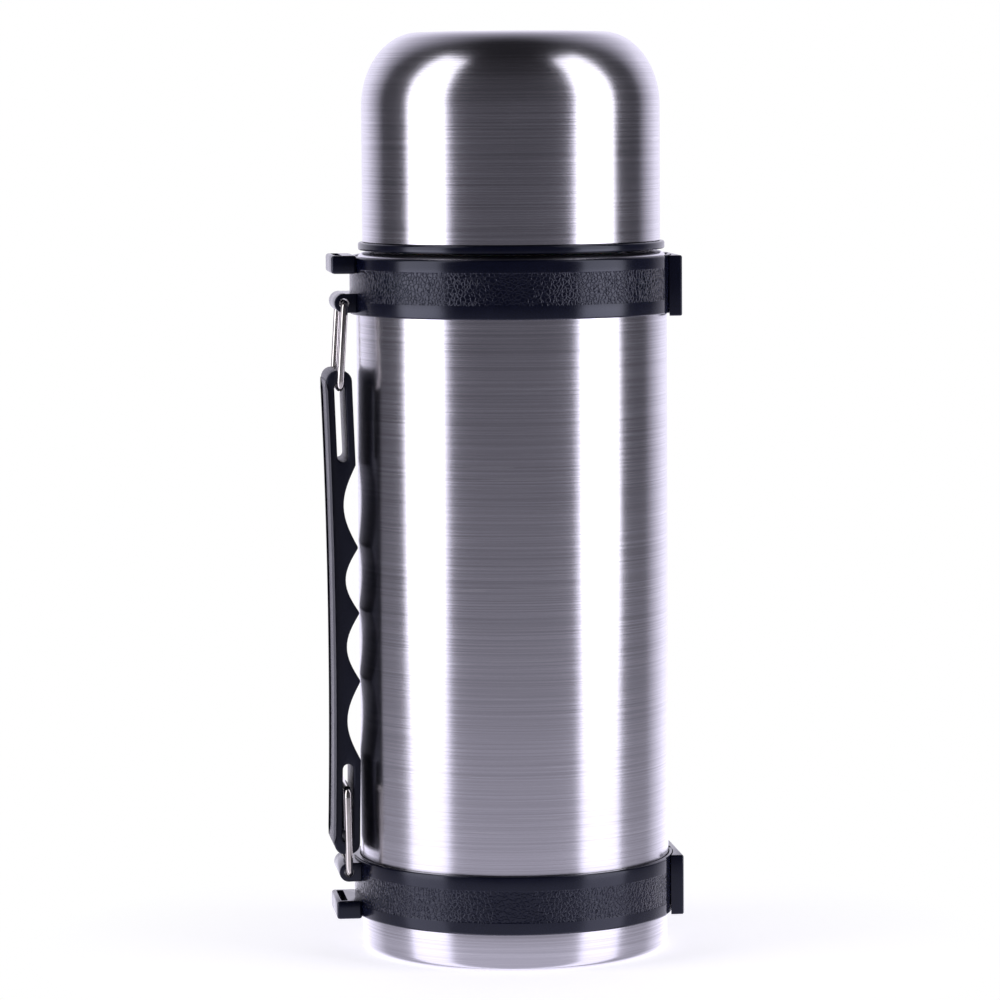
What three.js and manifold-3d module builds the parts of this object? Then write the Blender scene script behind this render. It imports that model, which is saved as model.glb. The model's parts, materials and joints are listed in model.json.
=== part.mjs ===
// Vacuum flask: double-walled steel body, screw-on cup, push-button stopper,
// two clamped bands and a fold-out handle on wire links.
// Millimetres, +Z up. The origin is the centre of the underside, and the handle is on the -X side.
// Heights below are measured from the vessel's own level, which stands FOOT_DEPTH above the ground:
// add() lifts every piece by that much.
import * as THREE from "three";
import { mergeVertices } from "three/addons/utils/BufferGeometryUtils.js";
import Module from "manifold-3d";

const wasm = await Module();
wasm.setup();

// Driving dimensions
const ROUND_SIDES = 40; // sides of the large round pieces, so that nested pieces keep their gaps
const INNER_SIDES = 28; // sides of the inner wall, the stopper and what is on them
const SMALL_SIDES = 16; // sides of small round pieces
const GAP = 0.3; // clearance between pieces that touch

const FOOT_DEPTH = 1.3; // how far the base cover's foot reaches below the vessel's level

const SHELL_R = 50;
const SHELL_WALL = 0.6;
const SHELL_BOTTOM_Z = 11.6;
const SHOULDER_Z = 224.5;
const SHOULDER_FILLET = 3;
const NECK_R = 30.4; // outside of the shell's neck
const MOUTH_Z = 238.5;

const LINER_R = 46.9; // outside of the inner wall
const LINER_WALL = 0.5;
const LINER_FLOOR_Z = 18;
const LINER_NECK_R = 29.1;

const CUP_R = 47.9;
const CUP_RIM_Z = 225.2;
const CUP_SHOULDER_Z = 271;
const CUP_TOP_Z = 295;
const CUP_CORNER = { across: 18.4, up: 23.6 }; // half axes of the dome's elliptical corner
const CUP_THREAD_LEAD = 12;

const COLLAR_R = 43.4;
const COLLAR_TOP_Z = 245;

const STOPPER_R = 26.2;
const STOPPER_THREAD_LEAD = 6;
const FLANGE_R = 32;

const BAND = { inner: 50.3, outer: 52.2, height: 18.6 };
const UPPER_BAND_Z = 204.8; // underside of the upper band
const LOWER_BAND_Z = 10.8; // underside of the lower band
const LUG = { reach: 59, width: 24, height: 5.8, proud: 0.5, slotWide: 2.2, slotLong: 20, slotX: 56.5 };
const BOSS = { x: 55, fromEdge: 3.9, r: 3.1, hole: 1.6, width: 23 };
const KEEPER = { reach: 53.3, width: 31, height: 19.4, drop: 1.1, seat: 51.5 };

const WIRE_R = 1.15;
const LINK_LENGTH = 27; // between the centres of the link's two bars
const LINK_WIDTH = 27.4; // between the centres of its two sides
const LINK_CORNER = 2.4;

const GRIP = { length: 155.9, width: 24, thick: 8.2, land: 3.8, slotLong: 25.5, slotWide: 3.4, bow: 1.3 };
const SCALLOP_TIPS = [30.5, 56, 78, 99, 125.5]; // heights of the points between the finger scallops
const SCALLOP_DEPTH = 4.3;
const GRIP_TILT = 0.5; // degrees, top end outwards

// Solids and meshes

function solid(geometry) {
  const bare = geometry.index ? geometry.toNonIndexed() : geometry.clone();
  bare.deleteAttribute("normal");
  bare.deleteAttribute("uv");
  const merged = mergeVertices(bare, 1e-4);
  return new wasm.Manifold(
    new wasm.Mesh({
      numProp: 3,
      vertProperties: merged.attributes.position.array,
      triVerts: new Uint32Array(merged.index.array),
    }),
  );
}

function geometryOf(manifold) {
  const mesh = manifold.getMesh();
  const geometry = new THREE.BufferGeometry();
  geometry.setAttribute("position", new THREE.BufferAttribute(new Float32Array(mesh.vertProperties), 3));
  geometry.setIndex(new THREE.BufferAttribute(new Uint32Array(mesh.triVerts), 1));
  geometry.computeVertexNormals();
  return geometry;
}

// A turned piece about Z. The profile is a list of [radius, height], anticlockwise,
// and it either closes on itself or runs from the axis to the axis.
function turned(profile, sides = ROUND_SIDES) {
  const points = profile.map(([r, z]) => new THREE.Vector2(r, z));
  const touchesAxis = profile[0][0] === 0;
  if (!touchesAxis) points.push(points[0].clone());
  return new THREE.LatheGeometry(points, sides).rotateX(Math.PI / 2);
}

// A plain ring, or a disc where inner is 0.
function ring(inner, outer, bottom, top, sides = ROUND_SIDES) {
  return turned([[inner, bottom], [outer, bottom], [outer, top], [inner, top]], sides);
}

function box(x0, x1, y0, y1, z0, z1) {
  const geometry = new THREE.BoxGeometry(x1 - x0, y1 - y0, z1 - z0);
  return geometry.translate((x0 + x1) / 2, (y0 + y1) / 2, (z0 + z1) / 2);
}

// A rod along Y, centred on y = 0.
function crossRod(x, z, r, length, sides = SMALL_SIDES) {
  return new THREE.CylinderGeometry(r, r, length, sides).translate(x, 0, z);
}

function quarterArc(r0, z0, across, up, fromDegrees, toDegrees, steps) {
  const points = [];
  for (let i = 0; i <= steps; i += 1) {
    const a = THREE.MathUtils.degToRad(fromDegrees + ((toDegrees - fromDegrees) * i) / steps);
    points.push([r0 + across * Math.cos(a), z0 + up * Math.sin(a)]);
  }
  return points;
}

// A path through given points, whose tangents halve each corner.
class BentPath extends THREE.Curve {
  constructor(points) {
    super();
    this.points = points;
  }

  getPoint(t) {
    const place = Math.min(Math.max(t, 0), 1) * (this.points.length - 1);
    const i = Math.min(Math.floor(place), this.points.length - 2);
    return this.points[i].clone().lerp(this.points[i + 1], place - i);
  }

  getPointAt(u) {
    return this.getPoint(u);
  }

  getTangentAt(u) {
    const last = this.points.length - 1;
    const i = Math.round(u * last);
    const tangent = new THREE.Vector3();
    if (i > 0) tangent.add(this.points[i].clone().sub(this.points[i - 1]).normalize());
    if (i < last) tangent.add(this.points[i + 1].clone().sub(this.points[i]).normalize());
    return tangent.normalize();
  }
}

// A wire of radius r bent along points.
function bentWire(points, r, curveSegments) {
  const section = new THREE.Shape();
  section.absarc(0, 0, r, 0, 2 * Math.PI, false);
  return new THREE.ExtrudeGeometry(section, {
    steps: points.length - 1,
    extrudePath: new BentPath(points),
    bevelEnabled: false,
    curveSegments,
  });
}

// One thread ridge: a four-sided bar wound up a helix. It stands outwards where its crest is
// beyond its root, and inwards where the crest is nearer the axis.
function threadRidge({ root, crest, width, lead, startAngle, startZ, turns, stepsPerTurn = 24 }) {
  const steps = Math.ceil(turns * stepsPerTurn);
  const rings = [];
  for (let i = 0; i <= steps; i += 1) {
    const angle = startAngle + (i / steps) * turns * 2 * Math.PI;
    const z = startZ + (i / steps) * turns * lead;
    const crestHalf = width * 0.25;
    const rootHalf = width * 0.5;
    rings.push(
      [
        [root, z - rootHalf],
        [crest, z - crestHalf],
        [crest, z + crestHalf],
        [root, z + rootHalf],
      ].map(([r, h]) => new THREE.Vector3(r * Math.cos(angle), r * Math.sin(angle), h)),
    );
  }
  return bodyThrough(rings, crest < root);
}

// A closed body through a row of four-cornered rings.
function bodyThrough(rings, flip) {
  const positions = rings.flat().flatMap((p) => [p.x, p.y, p.z]);
  const index = [];
  const face = (a, b, c) => (flip ? index.push(a, c, b) : index.push(a, b, c));
  for (let i = 0; i + 1 < rings.length; i += 1) {
    for (let k = 0; k < 4; k += 1) {
      const a = i * 4 + k;
      const b = i * 4 + ((k + 1) % 4);
      face(a, a + 4, b);
      face(b, a + 4, b + 4);
    }
  }
  const end = (rings.length - 1) * 4;
  face(0, 1, 2);
  face(0, 2, 3);
  face(end, end + 2, end + 1);
  face(end, end + 3, end + 2);
  const geometry = new THREE.BufferGeometry();
  geometry.setAttribute("position", new THREE.Float32BufferAttribute(positions, 3));
  geometry.setIndex(index);
  return geometry;
}

const flask = new THREE.Group();

const STEEL = { color: 0xb9b8bd, roughness: 0.3, metalness: 1 };
const WIRE_STEEL = { color: 0xd6d3cc, roughness: 0.15, metalness: 1 };
const BLACK_PLASTIC = { color: 0x15161b, roughness: 0.35, metalness: 0 };
const GRIP_PLASTIC = { color: 0x17181d, roughness: 0.5, metalness: 0 };
const GREY_PLASTIC = { color: 0x3a3c40, roughness: 0.45, metalness: 0 };
const SILICONE = { color: 0xe6e4dc, roughness: 0.6, metalness: 0 };
const FOAM = { color: 0xf1efe6, roughness: 0.9, metalness: 0 };
const FOIL = { color: 0xc98a5a, roughness: 0.3, metalness: 1 };

function add(name, geometry, finish) {
  geometry.translate(0, 0, FOOT_DEPTH);
  const mesh = new THREE.Mesh(geometry, new THREE.MeshStandardMaterial(finish));
  mesh.name = name;
  flask.add(mesh);
}

// Vacuum vessel

function outerShell() {
  const inside = SHELL_R - SHELL_WALL;
  const straightTop = SHOULDER_Z - SHOULDER_FILLET;
  const cornerR = SHELL_R - SHOULDER_FILLET;
  return turned([
    [SHELL_R, SHELL_BOTTOM_Z],
    ...quarterArc(cornerR, straightTop, SHOULDER_FILLET, SHOULDER_FILLET, 0, 90, 3),
    [NECK_R, SHOULDER_Z],
    [NECK_R, MOUTH_Z],
    [NECK_R - SHELL_WALL, MOUTH_Z],
    [NECK_R - SHELL_WALL, SHOULDER_Z - SHELL_WALL],
    [cornerR, SHOULDER_Z - SHELL_WALL],
    [inside - 0.7, straightTop + 1.4],
    [inside, straightTop - 0.6],
    [inside, SHELL_BOTTOM_Z],
  ]);
}

function innerLiner() {
  const outside = LINER_R;
  const inside = LINER_R - LINER_WALL;
  const neckInside = LINER_NECK_R - LINER_WALL;
  const wall = turned([
    [0, LINER_FLOOR_Z],
    ...quarterArc(outside - 8, LINER_FLOOR_Z + 8, 8, 8, -90, 0, 2),
    ...quarterArc(outside - 10, 210, 10, 10, 0, 70, 2),
    [LINER_NECK_R, 222.6],
    [LINER_NECK_R, MOUTH_Z + GAP],
    [NECK_R + 0.4, MOUTH_Z + GAP],
    [NECK_R + 0.4, MOUTH_Z + GAP + 0.8],
    [neckInside, MOUTH_Z + GAP + 0.8],
    [neckInside, 222],
    ...quarterArc(inside - 9.3, 210, 9.3, 9.3, 70, 0, 2),
    ...quarterArc(inside - 7.3, LINER_FLOOR_Z + 8, 7.3, 7.3, 0, -90, 2),
    [0, LINER_FLOOR_Z + LINER_WALL],
  ], INNER_SIDES);
  const ridge = threadRidge({
    root: neckInside + 0.35,
    crest: 26.9,
    width: 1.6,
    lead: STOPPER_THREAD_LEAD,
    startAngle: 0,
    startZ: STOPPER_THREAD_Z - 1.6 - GAP,
    turns: 1.25,
  });
  return geometryOf(solid(wall).add(solid(ridge)));
}

function vacuumParts() {
  add("outer_shell", outerShell(), STEEL);
  add("inner_liner", innerLiner(), STEEL);
  const shieldIn = LINER_R + 0.6;
  const shieldOut = LINER_R + 1.0;
  add("foil_shield", ring(shieldIn, shieldOut, 34, 205, INNER_SIDES), FOIL);
  const rim = SHELL_R - SHELL_WALL - GAP;
  add(
    "vacuum_bottom",
    turned([
      [3, 13.4],
      [6, 13.4],
      [9, 15.2],
      [rim - 0.8, 15.2],
      [rim - 0.8, 12.2],
      [rim, 12.2],
      [rim, 16],
      [8.6, 16],
      [5.6, 14.2],
      [3, 14.2],
    ]),
    STEEL,
  );
  const bead = turned([[0, 12.2], [2.4, 12.4], [2.6, 13.6], [2.2, 14.4], [0, 14.6]], SMALL_SIDES);
  add("tip_seal", bead, SILICONE);
  const pill = new THREE.CylinderGeometry(4, 4, 1.2, SMALL_SIDES).rotateX(Math.PI / 2);
  add("getter", pill.translate(20, 0, 16.95), FOIL);
}

// Bottom cup: foot ring on the ground, recessed centre, and a lip that fits inside the shell.
function baseCover() {
  const foot = -FOOT_DEPTH;
  const sideTop = 10.9;
  return turned([
    [0, foot + 0.6],
    [39.5, foot + 0.6],
    [40.5, foot],
    ...quarterArc(47, foot + 2.5, 2.5, 2.5, -90, 0, 3),
    [49.5, sideTop],
    [47.9, sideTop + 0.6],
    [47.9, 14],
    [47.1, 14],
    [47.1, sideTop - 0.1],
    [48.7, sideTop - 0.7],
    ...quarterArc(47, foot + 2.5, 1.7, 1.7, 0, -90, 3),
    [40.5, foot + 0.8],
    [39.5, foot + 1.4],
    [0, foot + 1.4],
  ]);
}

// Bands. Each is made as the upper band at z = 0, with its lug on top, and the lower one is turned over.

function bandAtOrigin() {
  const { inner, outer, height } = BAND;
  const hoop = solid(ring(inner, outer, 0, height));
  const lugTop = height + LUG.proud;
  const lug = solid(box(-LUG.reach, -50.9, -LUG.width / 2, LUG.width / 2, lugTop - LUG.height, lugTop));
  const slot = solid(
    box(
      -LUG.slotX - LUG.slotWide / 2,
      -LUG.slotX + LUG.slotWide / 2,
      -LUG.slotLong / 2,
      LUG.slotLong / 2,
      0,
      height + 1,
    ),
  );
  const bossZ = BOSS.fromEdge;
  const knuckle = solid(crossRod(-BOSS.x, bossZ, BOSS.r, BOSS.width));
  const web = solid(
    box(-BOSS.x, -50.9, -BOSS.width / 2, BOSS.width / 2, bossZ - BOSS.r * 0.98, bossZ + BOSS.r * 0.98),
  );
  const hole = solid(crossRod(-BOSS.x, bossZ, BOSS.hole, BOSS.width + 2));
  const vesselSpace = solid(ring(0, inner, -1, height + 1));
  const whole = hoop.add(lug).add(knuckle).add(web).subtract(slot).subtract(hole).subtract(vesselSpace);
  return openedForKeeper(whole);
}

// The band's ends: thinned to take the keeper, with a hook rib on each and a slit between them.
function openedForKeeper(band) {
  const { height } = BAND;
  const seat = KEEPER.seat - GAP;
  const endsHalf = KEEPER.width / 2 + GAP;
  const outside = solid(box(seat - 4.6, 60, -endsHalf, endsHalf, -1, height + 1));
  const thinning = outside.subtract(solid(ring(0, seat, -2, height + 2)));
  const slit = solid(box(40, 60, -1.5, 1.5, -1, height + 1));
  const ribs = [[3, 6], [-6, -3]].map(([from, to]) => solid(box(50.6, 52.4, from, to, 0, height)));
  return band.subtract(thinning).add(ribs[0]).add(ribs[1]).subtract(slit);
}

// The block that closes a band's ends. It hangs a little below the band.

function keeper(bandZ) {
  const half = KEEPER.width / 2;
  const bottom = bandZ - KEEPER.drop;
  const top = bottom + KEEPER.height;
  const block = solid(box(48.6, KEEPER.reach, -half, half, bottom, top));
  const seat = solid(ring(0, KEEPER.seat, bottom - 1, top + 1));
  const pocket = solid(box(48, 52.7, -6.4, 6.4, bottom - 1, top + 1));
  return geometryOf(block.subtract(seat).subtract(pocket));
}

function bands() {
  const upper = geometryOf(bandAtOrigin());
  const lower = upper.clone().rotateX(Math.PI);
  add("upper_band", upper.translate(0, 0, UPPER_BAND_Z), BLACK_PLASTIC);
  add("lower_band", lower.translate(0, 0, LOWER_BAND_Z + BAND.height), BLACK_PLASTIC);
  add("upper_keeper", keeper(UPPER_BAND_Z), BLACK_PLASTIC);
  add("lower_keeper", keeper(LOWER_BAND_Z), BLACK_PLASTIC);
}

// Links and handle

const PIVOT_TOP = { x: -BOSS.x, z: UPPER_BAND_Z + BOSS.fromEdge };
const PIVOT_LOW = { x: -BOSS.x, z: LOWER_BAND_Z + BAND.height - BOSS.fromEdge };
const LINK_TOP_LEAN = 3.6; // degrees out from the wall
const LINK_LOW_LEAN = 1;

function linkBar(pivot, leanDegrees, isUpper) {
  const lean = THREE.MathUtils.degToRad(leanDegrees);
  const down = isUpper ? -1 : 1;
  return {
    x: pivot.x - LINK_LENGTH * Math.sin(lean),
    z: pivot.z + down * LINK_LENGTH * Math.cos(lean),
  };
}

// A loop of wire whose ends meet inside the boss, drawn in the YZ plane with its pivot bar at z = 0.
function wireLoop(down) {
  const half = LINK_WIDTH / 2;
  const r = LINK_CORNER;
  const corners = [
    [half - r, r, -90],
    [half - r, LINK_LENGTH - r, 0],
    [-half + r, LINK_LENGTH - r, 90],
    [-half + r, r, 180],
  ];
  const points = [new THREE.Vector3(0, 0.25, 0)];
  for (const [y, s, start] of corners) {
    for (let i = 0; i <= 3; i += 1) {
      const a = THREE.MathUtils.degToRad(start + i * 30);
      points.push(new THREE.Vector3(0, y + r * Math.cos(a), down * (s + r * Math.sin(a))));
    }
  }
  points.push(new THREE.Vector3(0, -0.25, 0));
  return bentWire(points, WIRE_R, 6);
}

function links() {
  const topLean = THREE.MathUtils.degToRad(LINK_TOP_LEAN);
  const lowLean = THREE.MathUtils.degToRad(LINK_LOW_LEAN);
  const upper = wireLoop(-1).rotateY(topLean).translate(PIVOT_TOP.x, 0, PIVOT_TOP.z);
  const lower = wireLoop(1).rotateY(-lowLean).translate(PIVOT_LOW.x, 0, PIVOT_LOW.z);
  add("upper_link", upper, WIRE_STEEL);
  add("lower_link", lower, WIRE_STEEL);
}

// The grip's outline in its own plane: s runs up its length, t is positive towards the wall.
function gripOutline() {
  const { length, thick } = GRIP;
  const half = thick / 2;
  const points = [];
  const arc = (s, t, r, from, to, steps) => {
    for (let i = 0; i <= steps; i += 1) {
      const a = THREE.MathUtils.degToRad(from + ((to - from) * i) / steps);
      points.push([s + r * Math.sin(a), t + r * Math.cos(a)]);
    }
  };
  const endR = 3.4;
  arc(endR, -half + endR, endR, -180, -90, 3);
  arc(endR, half - endR, endR, -90, 0, 3);
  for (let k = 0; k + 1 < SCALLOP_TIPS.length; k += 1) {
    const span = SCALLOP_TIPS[k + 1] - SCALLOP_TIPS[k];
    for (let i = k === 0 ? 0 : 1; i <= 8; i += 1) {
      const share = i / 8;
      points.push([SCALLOP_TIPS[k] + span * share, half - SCALLOP_DEPTH * Math.sin(Math.PI * share)]);
    }
  }
  arc(length - endR, half - endR, endR, 0, 90, 3);
  arc(length - endR, -half + endR, endR, 90, 180, 3);
  for (let i = 11; i >= 1; i -= 1) points.push([(length * i) / 12, -half]);
  return points;
}

// Bows a point of the grip, so that both ends stand off the wall.
function bowed([s, t]) {
  const along = (2 * s) / GRIP.length - 1;
  return new THREE.Vector2(s, t - GRIP.bow * along * along);
}

function grip() {
  const shape = new THREE.Shape(gripOutline().map(bowed));
  const halfSlot = GRIP.slotWide / 2;
  for (const s0 of [GRIP.land, GRIP.length - GRIP.land - GRIP.slotLong]) {
    const slot = [];
    const s1 = s0 + GRIP.slotLong;
    for (const [s, from] of [[s1 - halfSlot, 90], [s0 + halfSlot, 270]]) {
      for (let i = 0; i <= 4; i += 1) {
        const a = THREE.MathUtils.degToRad(from - 180 * (i / 4));
        slot.push([s + halfSlot * Math.cos(a), halfSlot * Math.sin(a)]);
      }
    }
    shape.holes.push(new THREE.Path(slot.reverse().map(bowed)));
  }
  const geometry = new THREE.ExtrudeGeometry(shape, { depth: GRIP.width, bevelEnabled: false });
  // s becomes +Z, t becomes +X, the width becomes Y.
  geometry.translate(0, 0, -GRIP.width / 2);
  geometry.applyMatrix4(
    new THREE.Matrix4().makeBasis(
      new THREE.Vector3(0, 0, 1),
      new THREE.Vector3(1, 0, 0),
      new THREE.Vector3(0, 1, 0),
    ),
  );
  return geometry;
}

function handle() {
  const top = linkBar(PIVOT_TOP, LINK_TOP_LEAN, true);
  const tilt = THREE.MathUtils.degToRad(GRIP_TILT);
  const barFromTop = GRIP.land + WIRE_R + 0.6;
  const barOnGrip = GRIP.length - barFromTop;
  const along = (2 * barOnGrip) / GRIP.length - 1;
  const geometry = grip();
  geometry.translate(GRIP.bow * along * along, 0, -barOnGrip);
  geometry.rotateY(-tilt).translate(top.x, 0, top.z);
  add("handle", geometry, GRIP_PLASTIC);
}

// Neck collar: a hollow moulding round the neck, with a drip basin on top and the cup's thread outside.

const CUP_THREAD = { width: 1.8, turns: 0.55, z: 231.6 };

function collarParts() {
  const bottom = SHOULDER_Z + 0.6;
  const wall = turned([
    [NECK_R + 0.5, bottom],
    [NECK_R + 2.4, bottom],
    [NECK_R + 2.4, 236.4],
    [41.4, 236.4],
    [41.4, bottom],
    [COLLAR_R, bottom],
    [COLLAR_R, COLLAR_TOP_Z - 1.4],
    [COLLAR_R - 1.4, COLLAR_TOP_Z],
    [36, COLLAR_TOP_Z],
    [34, COLLAR_TOP_Z - 2],
    [34, 238.6],
    [NECK_R + 0.9, 238.6],
    [NECK_R + 0.5, 238.2],
  ]);
  let collar = solid(wall);
  for (let k = 0; k < 2; k += 1) {
    const ridge = threadRidge({
      root: COLLAR_R - 0.5,
      crest: 45.2,
      width: CUP_THREAD.width,
      lead: CUP_THREAD_LEAD,
      startAngle: k * Math.PI,
      startZ: CUP_THREAD.z,
      turns: CUP_THREAD.turns,
    });
    collar = collar.add(solid(ridge));
  }
  add("neck_collar", geometryOf(collar), BLACK_PLASTIC);
  const gasketIn = NECK_R + 2.7;
  add("collar_gasket", ring(gasketIn, gasketIn + 3, 224.8, 227), SILICONE);
}

// Cup

function domeProfile(inset, bottomZ, steps) {
  const across = CUP_CORNER.across - inset * 0.4;
  const straight = CUP_R - inset;
  const up = CUP_CORNER.up - inset;
  return [
    [straight, bottomZ],
    ...quarterArc(straight - across, CUP_SHOULDER_Z, across, up, 0, 88, steps),
    [0, CUP_TOP_Z - inset],
  ];
}

// A wall that follows the dome between two insets.
function domeWall(outerInset, innerInset, outerZ, innerZ, steps) {
  const outer = domeProfile(outerInset, outerZ, steps);
  const inner = domeProfile(innerInset, innerZ, steps).reverse();
  const profile = [...outer, ...inner];
  // From the axis at the inside of the crown, down the inside, across the mouth and up the outside.
  return [...profile.slice(outer.length), ...profile.slice(0, outer.length)];
}

function cupParts() {
  const steelWall = 0.7;
  const linerOut = steelWall + 0.35;
  const linerIn = linerOut + 1.1;
  const mouth = CUP_RIM_Z + 2.8;
  add("cup_shell", turned(domeWall(0, steelWall, mouth, mouth, 5)), STEEL);
  let liner = solid(turned(domeWall(linerOut, linerIn, CUP_RIM_Z + 3.3, CUP_RIM_Z + 3.3, 4)));
  for (let k = 0; k < 2; k += 1) {
    const ridge = threadRidge({
      root: CUP_R - linerIn + 0.5,
      crest: 44.2,
      width: CUP_THREAD.width,
      lead: CUP_THREAD_LEAD,
      startAngle: k * Math.PI,
      startZ: CUP_THREAD.z - CUP_THREAD.width - GAP,
      turns: CUP_THREAD.turns,
    });
    liner = liner.add(solid(ridge));
  }
  add("cup_liner", geometryOf(liner), BLACK_PLASTIC);
  add(
    "cup_rim",
    turned([
      [46, CUP_RIM_Z],
      [48.9, CUP_RIM_Z],
      [49.3, CUP_RIM_Z + 0.5],
      [49.3, CUP_RIM_Z + 2.1],
      [48.9, CUP_RIM_Z + 2.5],
      [46, CUP_RIM_Z + 2.5],
    ]),
    BLACK_PLASTIC,
  );
}

// Stopper and its pour valve

const STOPPER_BOTTOM_Z = 209;
const FLANGE_Z = 241.4;
const STOPPER_THREAD_Z = 228.6;
const BUTTON_TOP_Z = 254;

function stopperBody() {
  const wall = solid(
    turned([
      [12, STOPPER_BOTTOM_Z],
      [STOPPER_R, STOPPER_BOTTOM_Z],
      [STOPPER_R, FLANGE_Z],
      [FLANGE_R, FLANGE_Z],
      [FLANGE_R, FLANGE_Z + 2],
      [30, FLANGE_Z + 2.4],
      [29, 250],
      [27, 250],
      [27.6, FLANGE_Z + 2],
      [24.6, FLANGE_Z],
      [24.6, STOPPER_BOTTOM_Z + 2],
      [12, STOPPER_BOTTOM_Z + 2],
    ], INNER_SIDES),
  );
  const ridge = threadRidge({
    root: STOPPER_R - 0.5,
    crest: 27.9,
    width: 1.6,
    lead: STOPPER_THREAD_LEAD,
    startAngle: 0,
    startZ: STOPPER_THREAD_Z,
    turns: 1.25,
  });
  const window = solid(box(20, 40, -9, 9, FLANGE_Z + 2.6, 248.4));
  return geometryOf(wall.add(solid(ridge)).subtract(window));
}

function stopperParts() {
  add("stopper_body", stopperBody(), GREY_PLASTIC);
  add("stopper_seal", ring(26.8, 31.6, 239.9, FLANGE_Z - GAP, INNER_SIDES), SILICONE);
  add(
    "stopper_insert",
    turned([
      [5, 214],
      [22, 214],
      [22, 243],
      [21, 243],
      [21, 215],
      [6, 215],
      [6, 236],
      [5, 236],
    ], INNER_SIDES),
    GREY_PLASTIC,
  );
  add("foam_core", ring(6.4, 20.6, 215.3, 235.4, INNER_SIDES), FOAM);
  add(
    "insert_cover",
    turned([
      [4.4, 236.3],
      [20.6, 236.3],
      [20.6, 243.4],
      [26.4, 246],
      [26.4, 250],
      [16.2, 250],
      [16.2, 249],
      [18, 246],
      [18, 237.3],
      [4.4, 237.3],
    ], INNER_SIDES),
    BLACK_PLASTIC,
  );
  add(
    "push_button",
    turned([
      [0, BUTTON_TOP_Z - 2],
      [13.6, BUTTON_TOP_Z - 2],
      [13.6, 247.4],
      [15.4, 247.4],
      [15.4, BUTTON_TOP_Z - 1.2],
      [14.4, BUTTON_TOP_Z],
      [0, BUTTON_TOP_Z],
    ], INNER_SIDES),
    GREY_PLASTIC,
  );
  add("valve_stem", ring(0, 2.4, 207.2, BUTTON_TOP_Z - 2.3, SMALL_SIDES), GREY_PLASTIC);
  add(
    "valve_head",
    turned([[0, 203.4], [9, 203.4], [13.8, 205], [13.8, 206.9], [0, 206.9]], INNER_SIDES),
    GREY_PLASTIC,
  );
  add("valve_seal", ring(9.5, 13.6, 207.2, 208.7, INNER_SIDES), SILICONE);
  add("button_spring", buttonSpring(), WIRE_STEEL);
}

function buttonSpring() {
  const turns = 4;
  const stepsPerTurn = 10;
  const bottom = 238.3;
  const top = BUTTON_TOP_Z - 2.9;
  const points = [];
  for (let i = 0; i <= turns * stepsPerTurn; i += 1) {
    const a = (i / stepsPerTurn) * 2 * Math.PI;
    const z = bottom + ((top - bottom) * i) / (turns * stepsPerTurn);
    points.push(new THREE.Vector3(8 * Math.cos(a), 8 * Math.sin(a), z));
  }
  return bentWire(points, 0.5, 2);
}

vacuumParts();
add("base_cover", baseCover(), STEEL);
bands();
links();
handle();
collarParts();
cupParts();
stopperParts();

export default flask;
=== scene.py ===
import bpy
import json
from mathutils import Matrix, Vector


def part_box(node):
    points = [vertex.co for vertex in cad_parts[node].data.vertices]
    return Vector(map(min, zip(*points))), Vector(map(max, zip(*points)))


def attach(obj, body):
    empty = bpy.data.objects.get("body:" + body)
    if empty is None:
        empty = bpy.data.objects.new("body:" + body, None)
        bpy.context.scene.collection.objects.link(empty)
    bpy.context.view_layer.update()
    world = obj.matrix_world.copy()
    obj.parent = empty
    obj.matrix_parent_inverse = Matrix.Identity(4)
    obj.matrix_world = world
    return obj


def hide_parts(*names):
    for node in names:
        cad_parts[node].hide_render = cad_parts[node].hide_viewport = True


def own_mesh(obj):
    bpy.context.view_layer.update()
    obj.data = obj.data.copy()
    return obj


bl_info = {
    "name": "Vacuum Flask",
    "version": (1, 0, 0),
    "blender": (4, 5, 0),
    "location": "View3D > Sidebar > Flask",
    "description": "Models a steel vacuum flask: cup, stopper, clamped bands and a fold-out handle",
    "category": "Add Mesh",
}

import json
import math

import bmesh
import bpy
from mathutils import Matrix, Vector

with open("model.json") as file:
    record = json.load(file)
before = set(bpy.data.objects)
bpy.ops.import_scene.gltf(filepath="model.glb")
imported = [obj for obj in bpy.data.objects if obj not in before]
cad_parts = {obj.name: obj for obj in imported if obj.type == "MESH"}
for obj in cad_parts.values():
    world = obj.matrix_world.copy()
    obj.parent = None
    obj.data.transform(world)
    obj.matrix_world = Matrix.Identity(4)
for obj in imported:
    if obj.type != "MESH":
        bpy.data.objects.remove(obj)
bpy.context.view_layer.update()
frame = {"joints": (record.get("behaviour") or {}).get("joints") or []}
MM = 0.001
AXIS = (0.0, 0.0, 1.0)
MERGE = 0.002 * MM  # points nearer than this become one
CUP_THREAD = {"width": 1.8, "turns": 0.55, "lead": 12.0}
STOPPER_THREAD = {"width": 1.6, "turns": 1.25, "lead": 6.0}


# Places taken from the frame, in millimetres


def low(node):
    return Vector(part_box(node)[0]) / MM


def high(node):
    return Vector(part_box(node)[1]) / MM


def radius(node):
    """Largest radius of a round piece, from its extent along Y."""
    return high(node).y


def pivot(joint):
    """Where a joint turns at rest, in metres."""
    return Vector(next(j["pos_m"] for j in frame["joints"] if j["name"] == joint))


# Modelling tools


def clear_selection():
    if bpy.context.object and bpy.context.object.mode != "OBJECT":
        bpy.ops.object.mode_set(mode="OBJECT")
    bpy.ops.object.select_all(action="DESELECT")


def make_active(piece):
    clear_selection()
    piece.select_set(True)
    bpy.context.view_layer.objects.active = piece


def named(name):
    """Names the primitive that was just added."""
    piece = bpy.context.object
    piece.name = name.replace(" ", "_")
    piece.data.name = piece.name
    return piece


def edit(piece):
    make_active(piece)
    bpy.ops.object.mode_set(mode="EDIT")


def done():
    bpy.ops.object.mode_set(mode="OBJECT")


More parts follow.
